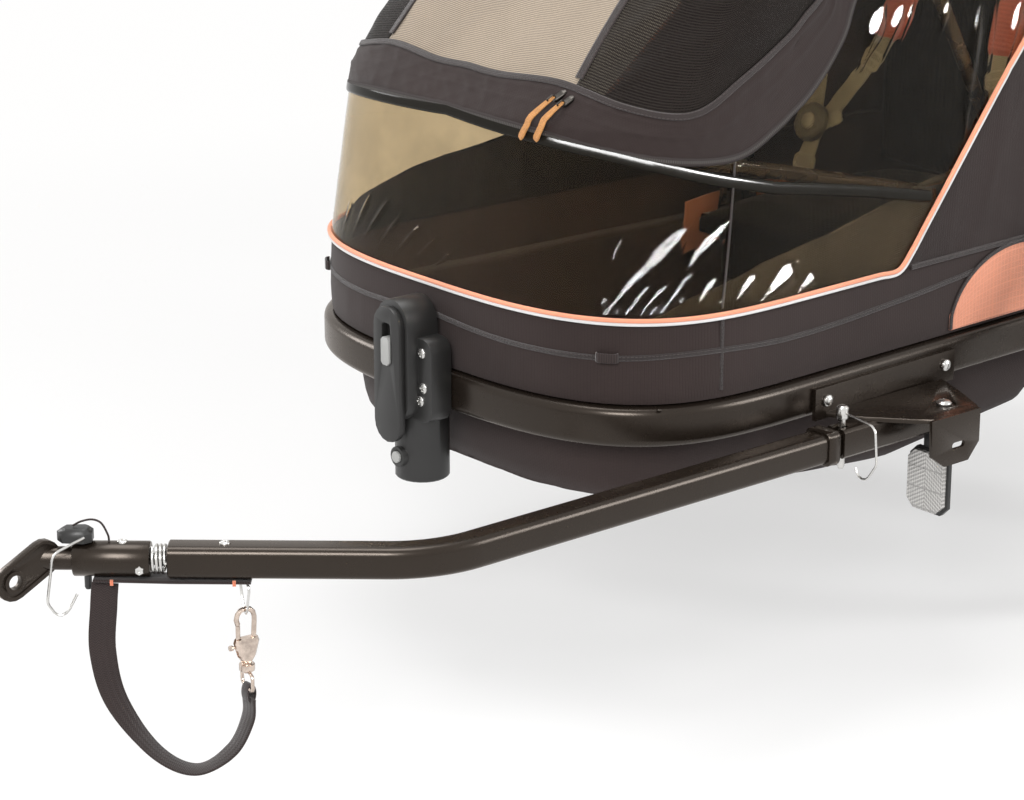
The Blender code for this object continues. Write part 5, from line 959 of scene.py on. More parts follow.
def build_stage():
    """Camera at the viewing angle, the floor, the lamps and a white world."""
    scene = bpy.context.scene
    scene.view_settings.view_transform = "Standard"
    lens = bpy.data.cameras.new("camera")
    lens.sensor_width = 36.0
    lens.lens = 105.47
    lens.clip_end = 60.0
    camera = bpy.data.objects.new("camera", lens)
    camera.location = (2.350, -2.124, 1.273)
    camera.rotation_euler = aimed(camera.location, (0.055, -0.1985, 0.30))
    scene.collection.objects.link(camera)
    scene.camera = camera
    build_floor()
    build_lamps()
    world = bpy.data.worlds.new("studio")
    scene.world = world
    world.use_nodes = True
    tree = world.node_tree
    tree.nodes.clear()
    level = node(tree, "ShaderNodeMapRange",
                 {"Value": seen_rays(tree), "To Min": 0.40, "To Max": 1.0}).outputs["Result"]
    back = node(tree, "ShaderNodeBackground", {"Color": (1, 0.995, 0.985, 1), "Strength": level})
    node(tree, "ShaderNodeOutputWorld", {"Surface": back.outputs[0]})


# Cords and straps of the arm

def tape_patch(path, wide, thick, broad, grow=1.0):
    """A flat strap whose width lies near the given direction at each point, square to its path; its
    texture map runs from -1 to 1 across and in metres along."""
    _, side, top = strap_axes(path, broad)
    section = rounded(wide, thick, thick * 0.42, 3)
    u = section[:, 0] / (wide / 2)
    return patch(loft(path, side, top, section, grow), False, True, True,
                 np.stack(np.meshgrid(np.append(u, u[0]), run_of(path)), -1))


def bartack(centre, along, across, out, wide, long):
    """A sewn bar: a low block whose top is a row of ridges, one per stitch."""
    v, t = np.meshgrid(np.linspace(-1, 1, 49), np.linspace(-1, 1, 7), indexing="ij")
    lift = 0.0006 + 0.0006 * np.abs(np.sin(v * 6 * PI))
    top = (centre + along * (v * long / 2)[..., None] + across * (t * wide / 2)[..., None]
           + out * lift[..., None])
    low = top - out * (lift[..., None] + 0.0004)
    return patch(np.concatenate([top, low[:, ::-1]], 1), False, True, True)


def build_safety_strap():
    """The webbing strap that hangs from the hitch, the bar that closes its end, and the loop of
    tape round the hook's lower ring. The strap turns about its own path as it hangs."""
    hook_s = 0.1750
    route = smooth_line(
        arm([0.3040, 0.3055, 0.3075, 0.2960, 0.2612, 0.2247, 0.1920, 0.1765, hook_s],
            [0.004, 0.008, 0.012, 0.014, 0.013, 0.010, 0.005, 0.001, 0.0],
            [-0.0385, -0.060, -0.104, -0.153, -0.204, -0.223, -0.205, -0.175, -0.1525]), 121)
    turn = np.radians(np.interp(shares(121), [0, 0.15, 0.5, 0.68, 0.8, 1],
                                [4, 10, 70, 90, 112, 124]))[:, None]
    broad = ARM_ALONG * np.cos(turn) + ARM_OUT * np.sin(turn)
    strap = make("safety_strap_webbing", [tape_patch(route, WEBBING, STRAP_THICK, broad)],
                 "web", "web", body="hitch", replaces="safety_strap")
    at = -8
    along = unit(route[at + 1] - route[at - 1])
    face = unit(np.cross(along, broad[at]))
    face = face if face @ (ARM_OUT - ARM_ALONG) > 0 else -face
    make("strap_end_bartack", [bartack(route[at] + face * 0.0010, broad[at], along, face, 0.0034,
                                       0.0180)], "piping", "salmon", body="hitch")
    angle = np.linspace(-PI / 2, 1.5 * PI, 41)
    loop = (arm(hook_s, 0.0, -0.1485) + np.outer(np.cos(angle), Y_AXIS * 0.0042)
            + np.outer(np.sin(angle), UP * 0.0088))
    make("strap_end_loop", [tape_patch(loop, 0.011, 0.0018, X_AXIS)], "web", "web", body="hitch")


def build_lanyard():
    """The thin cord that ties the hitch pin to its tube, bent over in one arch."""
    radius = 0.001
    high = HITCH_TOP + 0.014
    line = smooth_line(arm(0.320 + np.array([0.012, 0.004, -0.006, -0.014, -0.0195, -0.0204]),
                           [0.0, 0.0, -0.001, -0.002, -0.002, -0.002],
                           [high + 0.0013, high + 0.0055, high + 0.007, high + 0.003,
                            HITCH_TOP + 0.006, HITCH_TOP + GAP]), 49)
    lanyard = make("hitch_lanyard_cord",
                   [tube(line, circle(radius, 12), up=np.array([0.3, 0.2, 1.0]))],
                   "web", "web", body="hitch", replaces="hitch_lanyard")


def build_strap_end():
    """The strap's fixed run below the hitch tube, with its sewn bars."""
    count = 60
    low = HITCH_LOW - GAP
    share = np.clip(np.linspace(0, 2, count), 0, 1)
    path = arm(np.linspace(0.314, 0.169, count), 0.0, low - 0.00125 - 0.0012 * share)
    make("tow_strap_run", [tape_patch(path, WEBBING, 0.0023, ARM_OUT)], "web", "web",
         body="hitch", replaces="tow_strap_end")
    bars = [bartack(arm(at, 0.0129, low - 0.0021), UP, ARM_ALONG, ARM_OUT, 0.0030, 0.0056)
            for at in (0.2965, 0.184)]
    make("strap_bartacks", bars, "piping", "salmon", body="hitch")


# Cloth

# Points on the zip line and on the edge of the mesh, in millimetres from the centre outwards
DOOR_MARKS = np.array((
    (0, 34, 311.5), (125, 40, 307), (203, 64, 297), (240, 108, 288), (263, 150, 283),
    (269, 184, 283), (269, 212, 290), (266, 244, 304), (263, 275, 321), (260, 305, 342),
    (257, 336, 372), (254, 354, 402), (250, 374, 470), (243, 392, 588),
)) / 1000
MESH_MARKS = np.array((
    (0, 38, 349), (49, 38, 348), (139, 47, 351), (216, 78, 337), (240, 112, 330), (252, 136, 329),
    (257, 160, 336), (259, 195, 355), (258, 240, 379), (256, 284, 407), (252, 320, 450),
    (246, 340, 575),
)) / 1000
DOOR_COUNT = 150


def grid_panel(stations, low, high, rows, depth=0.0):
    """Stations and heights of a panel between two lines, and its points on the wall."""
    share = shares(rows)[:, None]
    s, z = np.broadcast_arrays(stations, low + (high - low) * share)
    return s, z, wall(s, z, depth)


def facing_out(side, *grids):
    """Grids of a left side as they are, those of a right side with their columns turned round."""
    return [grid if side > 0 else grid[:, ::-1] for grid in grids]


def push_out(s, z, points, height):
    """Points moved along the wall's normal by a height field."""
    _, out = wall_frame(s, z)
    return points + out * height[..., None]


def edge_fade(rows, cols, reach=4):
    """Weights that rise as a sine from nothing at the four edges of a grid."""
    r, c = [np.clip(np.minimum(np.arange(count), np.arange(count)[::-1]) / reach, 0, 1)
            for count in (rows, cols)]
    return (np.sin(r * PI / 2)[:, None] * np.sin(c * PI / 2)[None]) ** 0.7


# Foot and head of each pleat, its half width at the foot, and its swelling, in tenths of a
# millimetre
FRONT_PLEATS = np.array((
    (2268, 522, 1355, 2548, 912, 1896, 34, 48), (2348, 585, 1364, 2669, 1264, 2224, 20, 120),
    (2435, 665, 1374, 2605, 981, 1809, 32, 42), (2589, 844, 1374, 2762, 1747, 2234, 22, 110),
    (2644, 928, 1374, 2746, 1311, 1799, 30, 44), (2523, 759, 1374, 2650, 1026, 1683, 16, 26),
    (2784, 1232, 1364, 2812, 1523, 1673, 18, 60), (2879, 1676, 1345, 2860, 2021, 1635, 18, 64),
    (2903, 2004, 1326, 2855, 2665, 1625, 20, 120), (2904, 2525, 1306, 2865, 2916, 1499, 18, 70),
    (2203, 525, 1635, 2320, 704, 2147, 10, 24), (2856, 2458, 1664, 2849, 2771, 1644, 8, 30),
    (2182, 468, 1374, 2265, 550, 1528, 10, 22), (2847, 1471, 1355, 2851, 1575, 1451, 10, 22),
    (2701, 1035, 1384, 2736, 1164, 1528, 10, 22),
)) / 1e4
END_PLEATS = np.array((
    (-1727, 275, 1442, -1579, 295, 1867, 12, 32), (-1478, 213, 1461, -1150, 237, 2021, 14, 40),
    (-1249, 173, 1470, -761, 207, 2040, 16, 42), (-961, 136, 1442, -527, 180, 1915, 14, 36),
    (-658, 115, 1422, -180, 171, 1876, 14, 40), (-342, 107, 1413, 102, 159, 1789, 12, 30),
    (-2, 104, 1403, 377, 148, 1702, 10, 28),
)) / 1e4
SIDE_PLEATS = np.array((
    (2589, 3700, 3440, 2533, 4107, 4069, 34, 120), (2569, 4081, 3557, 2525, 4401, 4040, 26, 85),
    (2538, 4947, 3615, 2506, 5114, 3992, 20, 55), (2658, 5264, 2475, 2493, 5634, 3934, 36, 100),
    (2600, 5627, 2813, 2488, 5864, 3905, 20, 55), (2555, 5981, 3055, 2478, 6300, 3847, 26, 95),
    (2553, 4350, 3673, 2522, 4542, 4021, 16, 42),
)) / 1e4
FRONT_STEEPNESS, END_STEEPNESS, SIDE_STEEPNESS = 0.27, 0.45, 0.30


def add_pleats(height, points, rows, slope, side=1):
    """Adds the pleats of a table to the heights at these points of the left or right side."""
    for row in rows:
        height += pleat(points, row[:3] * [side, 1, 1], row[3:6] * [side, 1, 1], *row[6:], slope)


def film_pane(name, look, s, z, height, lowest, highest):
    """A clear sheet over the wall, its relief faded at the edges, lit by the film's own lamps."""
    height = np.clip(height * edge_fade(*z.shape, 6), lowest, highest) - 0.0004
    film = panel(f"{name}_film", push_out(s, z, wall(s, z), height), look, "clear", FILM, name)
    soften(film)
    bpy.data.collections[CLEAR_FILM].objects.link(film)


def build_front_film():
    """The clear lower window: the wall between piping and nose line, gathered into leaf-shaped
    pleats that rise from its foot. The columns lie closest where the pleats are."""
    crossing = ((NOSE_Z + NOSE_FALL * NOSE_Y - PIPING_Z + PIPING_CLIMB * PIPING_BEND_Y)
                / (PIPING_CLIMB + NOSE_FALL))
    end = station_at(crossing - 0.012, 0.20)
    marks = [nearest_station([point])[0]
             for point in ((-0.276, 0.13, 0.15), (0.215, 0.045, 0.14), (0.287, 0.30, 0.15))]
    stations = np.interp(np.arange(481), [0, 30, 180, 215, 455, 480],
                         [-end, marks[0], 0.15, marks[1], marks[2], end])
    low = height_on(piping_line, stations) + GAP
    high = height_on(nose_line, stations) - 0.0006
    s, z = np.broadcast_arrays(stations, low + (high - low) * shares(96)[:, None] ** 1.35)
    points = wall(s, z)
    rise = bpy.context.scene.trailer_sizes.film_fold / FILM_FOLD
    height = folds(points[..., 0] + points[..., 1], z * 1.3, 5, 5, 0.09, 0.0002)
    add_pleats(height, points, FRONT_PLEATS, FRONT_STEEPNESS * rise)
    add_pleats(height, points, END_PLEATS, END_STEEPNESS * rise)
    film_pane("front_window", "film", s, z, height, -0.004, 0.0055)


def build_door():
    """The roll-up door: a sand mesh pane between charcoal ones, a cloth border with two raised
    seams, tapes over the panes' edges, and the zip."""
    zip_line = centred_route(DOOR_MARKS, DOOR_COUNT)
    mesh_line = centred_route(MESH_MARKS, DOOR_COUNT)
    share = shares(26)[:, None]
    mixed = zip_line + (mesh_line - zip_line) * share[..., None]
    s, z = mixed[..., 0], mixed[..., 1]
    points = wall(s, z)
    sag = folds(points[..., 0] * 1.2 + points[..., 1], z * 2.2, 11, 6, 0.06, 0.0009)
    ridge = (0.0011 * np.exp(-((share - 0.84) / 0.05) ** 2)
             + 0.0009 * np.exp(-((share - 0.55) / 0.04) ** 2))
    border = push_out(s, z, points, 0.0012 + sag * edge_fade(*z.shape, 4) + ridge)
    cloth = panel("door_border", border, "cloth", "cloth", BORDER)

    top_z, width, count = EAVE_Z - 0.001, mesh_line[-1, 0], len(mesh_line)
    top = np.stack([np.interp(shares(count), shares(5),
                              [mesh_line[0, 0], -0.9 * width, 0.0, 0.9 * width, width]),
                    np.full(count, top_z)], 1)
    mixed = mesh_line + (top - mesh_line) * shares(60)[:, None, None]
    s, z = mixed[..., 0], np.minimum(mixed[..., 1], top_z)
    points = wall(s, z)
    fade = edge_fade(*z.shape, 8)
    drape = folds(points[..., 0] + 0.4 * points[..., 1], z * 1.5, 23, 7, 0.16, 0.0022) * fade
    for start, end, wide, size in (((0.20, 0.10, 0.36), (0.235, 0.33, 0.42), 0.012, 0.006),
                                   ((0.21, 0.12, 0.345), (0.245, 0.33, 0.365), 0.009, -0.004),
                                   ((0.16, 0.075, 0.39), (0.225, 0.26, 0.47), 0.014, 0.005)):
        drape += crease(points, start, end, wide, size) * fade
    grid = push_out(s, z, points, np.clip(drape, -0.006, 0.006))
    pane = nearest_station([(0.158, 0.050, 0.347)])[0]
    right, left = [int(np.argmin(np.abs(mesh_line[:, 0] - at))) for at in (-pane, pane)]
    panes = [panel(name, grid[:, first:last + 1], look, "mesh", MESH, replaces)
             for name, first, last, look, replaces in (
                 ("door_mesh_left", left, count - 1, "dark_mesh", ""),
                 ("door_mesh_centre", right, left, "pale_mesh", "front_door"),
                 ("door_mesh_right", 0, right, "dark_mesh", ""))]
    tapes = [trim(np.stack([s[2:, at], z[2:, at]], 1), 0.010, 0.0010, 0.0012)
             for at in (left, right)]
    tapes.append(trim(mesh_line[4:-4], 0.007, 0.0010, 0.0022))
    soften(cloth, *panes, make("door_tapes", tapes, "tape", "cloth"),
           make("door_zip", [trim(zip_line[2:-2], 0.0085, 0.0016, 0.0006)], "zip", "cloth"))


def build_zip_pulls():
    """Two leather pulls on metal sliders, side by side at the door's left end: flat tongues that
    taper and curve, and sliders as rounded boxes with a bridge."""
    count = 24
    leather, metal = [], []
    for marks in (((0.144, 0.047, 0.337), (0.119, 0.038, 0.298)),
                  ((0.158, 0.050, 0.334), (0.138, 0.041, 0.299))):
        stations = nearest_station(marks)
        point, out = wall_frame(np.linspace(stations[0], stations[1], count),
                                np.linspace(marks[0][2], marks[1][2], count))
        line = point + out * (0.0075 + 0.002 * np.sin(np.linspace(0, PI, count)))[:, None]
        grow = np.interp(shares(count), [0, 0.08, 0.5, 0.93, 1.0],
                         [0.45, 0.62, 0.85, 1.0, 0.7])
        leather.append(tube(line, rounded(0.0088, 0.0026, 0.0012, 4), up=out[12], grow=grow))
        head = smooth_line(np.stack([point[0] + out[0] * 0.0022 - (line[3] - line[0]) * 1.6,
                                     point[0] + out[0] * 0.003, line[1] - out[0] * 0.0028]), 12)
        metal.append(tube(head, rounded(0.0076, 0.0052, 0.0018, 4), up=out[0],
                          grow=np.interp(shares(12), [0, .2, .8, 1],
                                         [.6, 1, .95, .7])))
        ring = fillet(np.stack([line[0] - out[0] * 0.0035, line[0] + out[0] * 0.003,
                                line[3] + out[3] * 0.0032, line[3] - out[3] * 0.0030]), 0.0012, 5)
        metal.append(tube(ring, circle(0.0009, 10), up=np.cross(out[0], line[3] - line[0])))
    soften(make("zip_pulls", leather, "leather", "salmon", 40.0),
           make("zip_sliders", metal, "dark_metal", "steel", 40.0))


def side_window_lines():
    """The front and rear bounds of a side pane: rim and zip line in front, piping behind."""
    rim = np.linspace(station_at(0.467, 0.199), station_at(0.19, nose_line(0.19)), 60)
    zipped = centred_route(DOOR_MARKS, DOOR_COUNT)[DOOR_COUNT:]
    first = int(np.argmax(zipped[:, 0] > rim[-1]))
    front = np.concatenate([np.stack([rim, height_on(nose_line, rim)], 1), zipped[first:]])
    back = np.linspace(station_at(0.43, PIPING_Z), station_at(0.888, 0.59), 160)
    return front, np.stack([back, height_on(piping_line, back)], 1)


def build_side_windows():
    """Clear side panes behind the door, from the piping to the eave, gently rippled and gathered
    into a few pleats."""
    front, back = side_window_lines()
    level = shares(112)[:, None]
    share = shares(340)[None]
    low = max(front[0, 1], np.interp(front[0, 0], back[:, 0], back[:, 1]))
    height_at = low + 0.0012 + (EAVE_Z - 0.0008 - low) * level
    order = np.argsort(front[:, 1])
    lead = np.interp(height_at, front[order, 1], front[order, 0]) + 0.003
    tail = np.maximum(np.interp(height_at, back[:, 1], back[:, 0]) - 0.001, lead + 0.002)
    mixed = lead + (tail - lead) * share
    for side, word in SIDES:
        s, z = mixed * side, np.broadcast_to(height_at, mixed.shape)
        s, z, points = facing_out(side, s, z, wall(s, z))
        height = folds(points[..., 1] * 1.4, z, 31 + side, 6, 0.11, 0.0003)
        add_pleats(height, points, SIDE_PLEATS, SIDE_STEEPNESS, side)
        film_pane(f"side_window_{word}", "side_film", s, z, height, -0.0035, 0.0050)


def build_rear_cover():
    """The cloth back and rear quarters, with a mesh vent and taped seams."""
    start, finish = [station_at(*at) for at in ((0.423, PIPING_Z), (0.93, EAVE_Z - 0.03))]
    half = np.concatenate([np.linspace(start, finish, 110), np.linspace(finish, 4.0, 120)[1:]])
    stations = np.concatenate([half, 8.0 - half[-2::-1]])
    signed = np.where(stations > 4.0, stations - 8.0, stations)
    low = PIPING_Z + GAP
    high = np.maximum(height_on(piping_line, signed) - 0.0006, low + 0.0008)
    s, z, points = grid_panel(signed, low, high, 60)
    height = folds(points[..., 1] + 0.6 * points[..., 0], z, 41, 7, 0.15, 0.0016)
    height = np.clip(height * edge_fade(*z.shape, 5), -0.003, 0.003)
    # the push bar's two arms pass through the cloth, so it lies flat there
    near = np.exp(-(((np.abs(points[..., 0]) - 0.175) / 0.02) ** 2 + ((z - 0.57) / 0.03) ** 2))
    height *= 1 - near * (points[..., 1] > 0.9)
    # the normal isn't defined where the two sides meet, so the one beside it is taken
    grid = push_out(np.where(np.abs(s) > 3.9, np.sign(s) * 3.9, s), z, points, height)
    cover = panel("rear_cover_cloth", grid, "cloth", "cloth", CLOTH, "rear_cover")
    tapes = [trim(level_route(station, 0.14, 0.585), 0.012, 0.0009, 0.0004)
             for station in (2.5, -2.5)]
    for side, _ in SIDES:
        for marks, wide in ((((3.02, 0.165), (3.02, 0.36), (3.98, 0.36)), 0.010),
                            (((3.10, 0.40), (3.10, 0.545), (3.98, 0.545)), 0.008)):
            tapes.append(trim(even_line(np.array(marks) * [side, 1], 90), wide, 0.0010, 0.0004))
    seams = make("rear_seams", tapes, "tape", "cloth")
    columns = np.linspace(3.12, 4.88, 90)
    columns = np.where(columns > 4, columns - 8, columns)
    _, _, vent = grid_panel(columns, 0.405, 0.540, 40, -0.0008)
    soften(cover, seams, panel("rear_vent_mesh", vent, "dark_mesh", "mesh", FILM))


def build_roof():
    """The roof cloth: rings that shrink to the middle while the height follows the sixth power,
    over ribs that run across as a cosine."""
    stations = ring_stations(50, 50, 24, 24)
    base = wall(stations, EAVE_Z)
    middle = (base[0, 1] + base[len(stations) // 2, 1]) / 2
    share = (1 - shares(26) ** 1.6 * 0.985)[:, None]
    x = base[:, 0] * share
    y = middle + (base[:, 1] - middle) * share
    inside = np.clip((1 - share) * 6, 0, 1)
    z = EAVE_Z + 0.055 * np.sqrt(np.clip(1 - share ** 6, 0, None))
    z = z + (0.0016 * np.cos((y - middle) * 2 * PI / 0.13) - 0.0022) * inside
    uv = np.stack([np.concatenate([a, a[:, :1]], 1) for a in (x, y)], -1)
    roof = make("roof_cloth", [patch(np.stack([x, y, z], -1), False, True, uv=uv)], "cloth",
                "cloth", 60.0, closed=False, replaces="roof_cover")
    fill_hole(roof, lambda edge: max(abs(v.co.x) for v in edge.verts) < 0.03)
    shell(roof, CLOTH)
    eave = cord_on_wall(level_route(stations, EAVE_Z - 0.0035), 0.0024, 0.0, True)
    soften(roof, make("eave_piping", [eave], "piping", "salmon", 60.0))


def floor_height(y):
    """The hanging floor: shallow in front, deepest under the feet, high over the axle."""
    return np.interp(y, [0.16, 0.45, 0.67, 0.76], [-0.069, -0.096, -0.078, -0.015])


# Insets and heights of the tub's rings, then insets and shares of the fall to the floor
TUB_RINGS = (
    (0.0098, PIPING_Z), (0.0096, 0.118), (0.0092, 0.106), (0.0091, 0.099), (0.0093, 0.088),
    (0.0093, 0.072), (0.0093, 0.058), (0.0095, 0.048), (0.0105, 0.0436), (0.014, 0.0427),
    (0.024, 0.0427), (0.034, 0.0427), (0.0368, 0.040), (0.0378, 0.024), (0.0382, 0.010),
)
FLOOR_RINGS = ((0.0395, 0.30), (0.0415, 0.52), (0.0442, 0.75), (0.0475, 0.90), (0.0520, 0.985))
BAND_RINGS = 9


def build_tub():
    """The tub: band above the hoop, fold over its top, skirt inside it and a slung floor, one loft
    with cloth folds above and sag below."""
    stations = ring_stations(90, 80, 20, 16)
    rings = []
    for inset, z in TUB_RINGS:
        x, y = plan(stations, inset)
        rings.append(np.stack([x, y, np.full(x.shape, z)], -1))
    for inset, share in FLOOR_RINGS:
        x, y = plan(stations, inset)
        rings.append(np.stack([x, y, floor_height(y) * share + 0.004 * (1 - share)], -1))
    for share in (0.985, 0.93, 0.85, 0.72, 0.55, 0.36, 0.18, 0.02):
        rings.append(np.stack([x * share, y, floor_height(y) - 0.0007], -1))
    outer = np.stack(rings)
    height = outer[..., 2]
    band = np.exp(-((height - 0.072) / 0.022) ** 2)
    puff = folds(outer[..., 0] * 1.6 + outer[..., 1] * 1.2, height * 2.5, 3, 7, 0.10, 0.0012)
    row = np.arange(len(outer))[:, None]
    rim, inner = [np.stack([*plan(stations, inset), np.zeros(len(stations))], -1)
                  for inset in (0.0, 0.01)]
    out = unit(rim - inner)
    outer = outer + out * (band * (0.6 * puff + 0.0016) * (row < BAND_RINGS))[..., None]
    crumple = folds(outer[..., 0] * 1.3, outer[..., 1] * 1.1, 9, 7, 0.17, 0.0017)
    outer[..., 2] += crumple * np.clip((row - len(TUB_RINGS)) / 5, 0, 1) * 0.8
    tub = make("tub_cloth", [patch(outer[::-1], False, True)], "tub_cloth", "cloth", 60.0,
               closed=False, replaces="tub")
    fill_hole(tub, lambda edge: edge.verts[0].co.z < 0.29, below=0.26)
    shell(tub, TUB)


def build_band_seams():
    """The taped seam along the band, and four short ones up it."""
    line = centred_route(((0.0, 0.009, 0.0975), (0.11, 0.013, 0.0915), (0.223, 0.048, 0.0915),
                          (0.281, 0.13, 0.0945), (0.290, 0.262, 0.0895), (0.286, 0.415, 0.097),
                          (0.283, 0.495, 0.1035), (0.279, 0.60, 0.112), (0.270, 0.85, 0.124)), 200)
    make("band_seam", [trim(line, 0.0058, 0.0012, 0.0008, 4)], "seam", "cloth")
    front = nearest_station([(0.286, 0.154, 0.1)])[0]
    make("band_upright_seams", [trim(level_route(station, 0.052, 0.126, 24), 0.0042, 0.0008,
                                     0.0008, 4) for station in (front, -front, 2.5, -2.5)],
         "seam", "cloth")


def build_piping():
    """Two cords along the top of the band, an accent cord above a pale one, that rise behind the
    door; the tape behind them; and the film's rim and seam."""
    bend, end = station_at(PIPING_BEND_Y, PIPING_Z), station_at(0.885, 0.585)
    half = np.concatenate([np.linspace(0, bend, 170), np.linspace(bend, end, 140)[1:]])
    left = np.stack([half, np.minimum(height_on(piping_line, half), EAVE_Z - 0.002)], 1)
    line = mirrored(smooth_line(left[::6], 330))
    r = bpy.context.scene.trailer_sizes.piping
    upper = make("accent_piping_cord", [cord_on_wall(line, r, -r * 0.6)], "piping", "salmon", 60.0)
    lower = make("pale_piping_cord", [cord_on_wall(line, r * 0.8, r * 1.1)], "silver", "cloth",
                 60.0)
    rear = np.linspace(station_at(0.43, PIPING_Z), 3.97, 160)
    tape = make("rear_band_tape", [trim(level_route(rear * side, PIPING_Z), 0.006, 0.0012, 0.0004)
                                   for side, _ in SIDES], "tape", "cloth")
    route = centred_route(((0.0, 0.034, 0.3085), (0.203, 0.064, 0.2945), (0.271, 0.176, 0.260),
                           (0.274, 0.345, 0.225), (0.274, 0.467, 0.199)), 150)
    rim = make("film_rim", [trim(route, 0.013, 0.0022, 0.0003, 3)], "rim_film", "clear", 60.0)
    route = wall_route(((0.269, 0.184, 0.281), (0.278, 0.170, 0.21), (0.286, 0.154, 0.137)), 60)
    seam = make("film_seams", [trim(route, 0.0026, 0.0007, 0.0006, 4)], "seam", "cloth")
    bpy.data.collections[CLEAR_FILM].objects.link(rim)
    soften(upper, lower, tape, rim, seam)


def build_side_panels():
    """The accent panels at the sides, laid over the band and edged with tape: the leading edge
    follows a quarter circle."""
    foot, lead_y, reach = 0.048, 0.497, 0.11
    start, end = station_at(lead_y, 0.06), 2.0
    station = start + (end - start) * shares(90) ** 1.8
    along = np.minimum(1.0, (wall(station, 0.06)[:, 1] - lead_y + 0.002) / reach)
    top = foot + (PIPING_Z - 0.002 - foot) * np.sqrt(np.clip(1 - (1 - along) ** 2, 0, None))
    for side, word in SIDES:
        s, z, points = facing_out(side, *grid_panel(station * side, foot, top, 26, -0.0027))
        puff = folds(points[..., 1], z, 51, 5, 0.09, 0.0007) * edge_fade(*z.shape, 3)
        panel(f"side_panel_{word}_cloth", push_out(s, z, points, puff), "salmon", "salmon", CLOTH,
              f"side_panel_{word}")
        edge = np.concatenate([[(start, foot + 0.001)], np.stack([station, top], 1)]) * [side, 1]
        make(f"side_panel_{word}_edge", [trim(even_line(edge, 120), 0.0045, 0.0010, 0.0026)],
             "tape", "cloth")


def webbing_loop(station, z, wide, out_by):
    """A small loop of tape that stands off the band and is sewn down at both ends."""
    s = np.linspace(-1, 1, 40)
    point, out = wall_frame(np.array([station]), np.array([z]))
    ahead = unit(wall(station + 0.01, z) - wall(station, z))
    off = 0.0018 + out_by * np.sqrt(np.clip(1 - s ** 4, 0, 1))
    line = point[0] + ahead * (s * wide)[:, None] + out[0] * off[:, None]
    return tube(line, rounded(0.0018, 0.010, 0.0008, 3))


def build_loops():
    """Webbing loops on the band, one at each front corner."""
    corner = nearest_station([(0.229, 0.053, 0.093)])[0]
    make("band_loops", [webbing_loop(at, 0.093, 0.011, 0.0045) for at in (corner, -corner)],
         "web", "cloth")


def build_lining():
    """The lining inside the sides: a dark flap that rises above the band, and a pocket of accent
    cloth that hangs against each wall."""
    marks = np.array([(0.080, 0.128), (0.123, 0.150), (0.172, 0.161), (0.216, 0.172),
                      (0.260, 0.178), (0.310, 0.184), (0.400, 0.200), (0.470, 0.215),
                      (0.600, 0.228)])
    station = np.linspace(station_at(0.080, 0.13), station_at(0.600, 0.22), 90)
    top = np.interp(wall(station, 0.15)[:, 1], marks[:, 0], marks[:, 1])
    for side, word in SIDES:
        s, z, points = facing_out(side, *grid_panel(station * side, 0.104, top, 24))
        grid = push_out(s, z, points, folds(points[..., 1], z, 75, 5, 0.07, 0.0010) - 0.0062)
        panel(f"inner_flap_{word}", grid, "seat_trim", "cloth", LINING)
    v, u = np.meshgrid(shares(30), shares(70), indexing="ij")
    y = 0.60 + 0.22 * u
    z = 0.005 + 0.066 * v + 0.008 * np.sin(PI * u)
    x = 0.2465 - 0.02 * (y - 0.52) - 0.004 * v + folds(y, z, 71, 5, 0.08, 0.0016)
    for side, word in SIDES:
        grid, = facing_out(-side, np.stack([side * x, y, z], -1))
        panel(f"side_pocket_{word}", grid, "lining", "salmon", LINING)


# Frame

def build_hoop():
    """The base hoop: its plan at the tube's middle carries a rounded box section round one loop."""
    stations = ring_stations(110, 40, 30, 12)
    inner, outer = [np.stack(plan(stations, inset), -1) for inset in (HOOP_WIDE, 0.0)]
    middle, out = (inner + outer) / 2, unit(outer - inner)
    section = rounded(HOOP_WIDE, HOOP_TALL, 0.009, 8)
    grid = np.zeros((len(stations), len(section), 3))
    grid[..., :2] = middle[:, None] + out[:, None] * section[:, :1]
    grid[..., 2] = HOOP_TALL / 2 + section[:, 1]
    make("base_hoop_tube", [patch(grid, True, True)], "frame", "frame", replaces="base_hoop")


def build_tow_tube():
    """The tow tube with its collar and tongue: a rounded square section along a bent path. Its end
    face is drawn in a little, and a screw and a nut hold what lies inside."""
    x, side = BEND_VERTEX[0], 0.031
    section = rounded(side, side, 0.008, 7)
    last, inset = ARM_END - 0.0012, 0.92
    body = swept(fillet([(x, 0.248, ARM_Z), BEND_VERTEX, arm(last)], 0.12, 40), section)
    face = swept(np.stack([arm(last), arm(ARM_END)]), section)[1]
    face = arm(ARM_END) + (face - arm(ARM_END)) * inset
    collar = tube([(x, y, ARM_Z) for y in (0.244, 0.2452, 0.2588, 0.260)],
                  rounded(0.036, 0.036, 0.007, 6), grow=[0.95, 1, 1, 0.95])
    tongue = tube([(x, y, ARM_Z) for y in (0.25, 0.3985, 0.40)],
                  rounded(0.020, 0.024, 0.003, 4), grow=[1, 1, 0.9])
    make("tow_tube_body", [patch(np.concatenate([body, face[None]]), False, True, True), collar,
                           tongue], "frame", "frame", 40.0, "tow_arm", replaces="tow_tube")
    screw_s = 0.193
    steel = ("steel", "steel", 40.0, "tow_arm")
    make("tow_tube_screw", [phillips(arm(screw_s, 0.0, -0.0004), UP, 0.0052, 0.0022)], *steel)
    make("tow_tube_nut", [hex_head(arm(screw_s, 0.0, -0.0317), -UP, 0.0052, 0.003)], *steel)


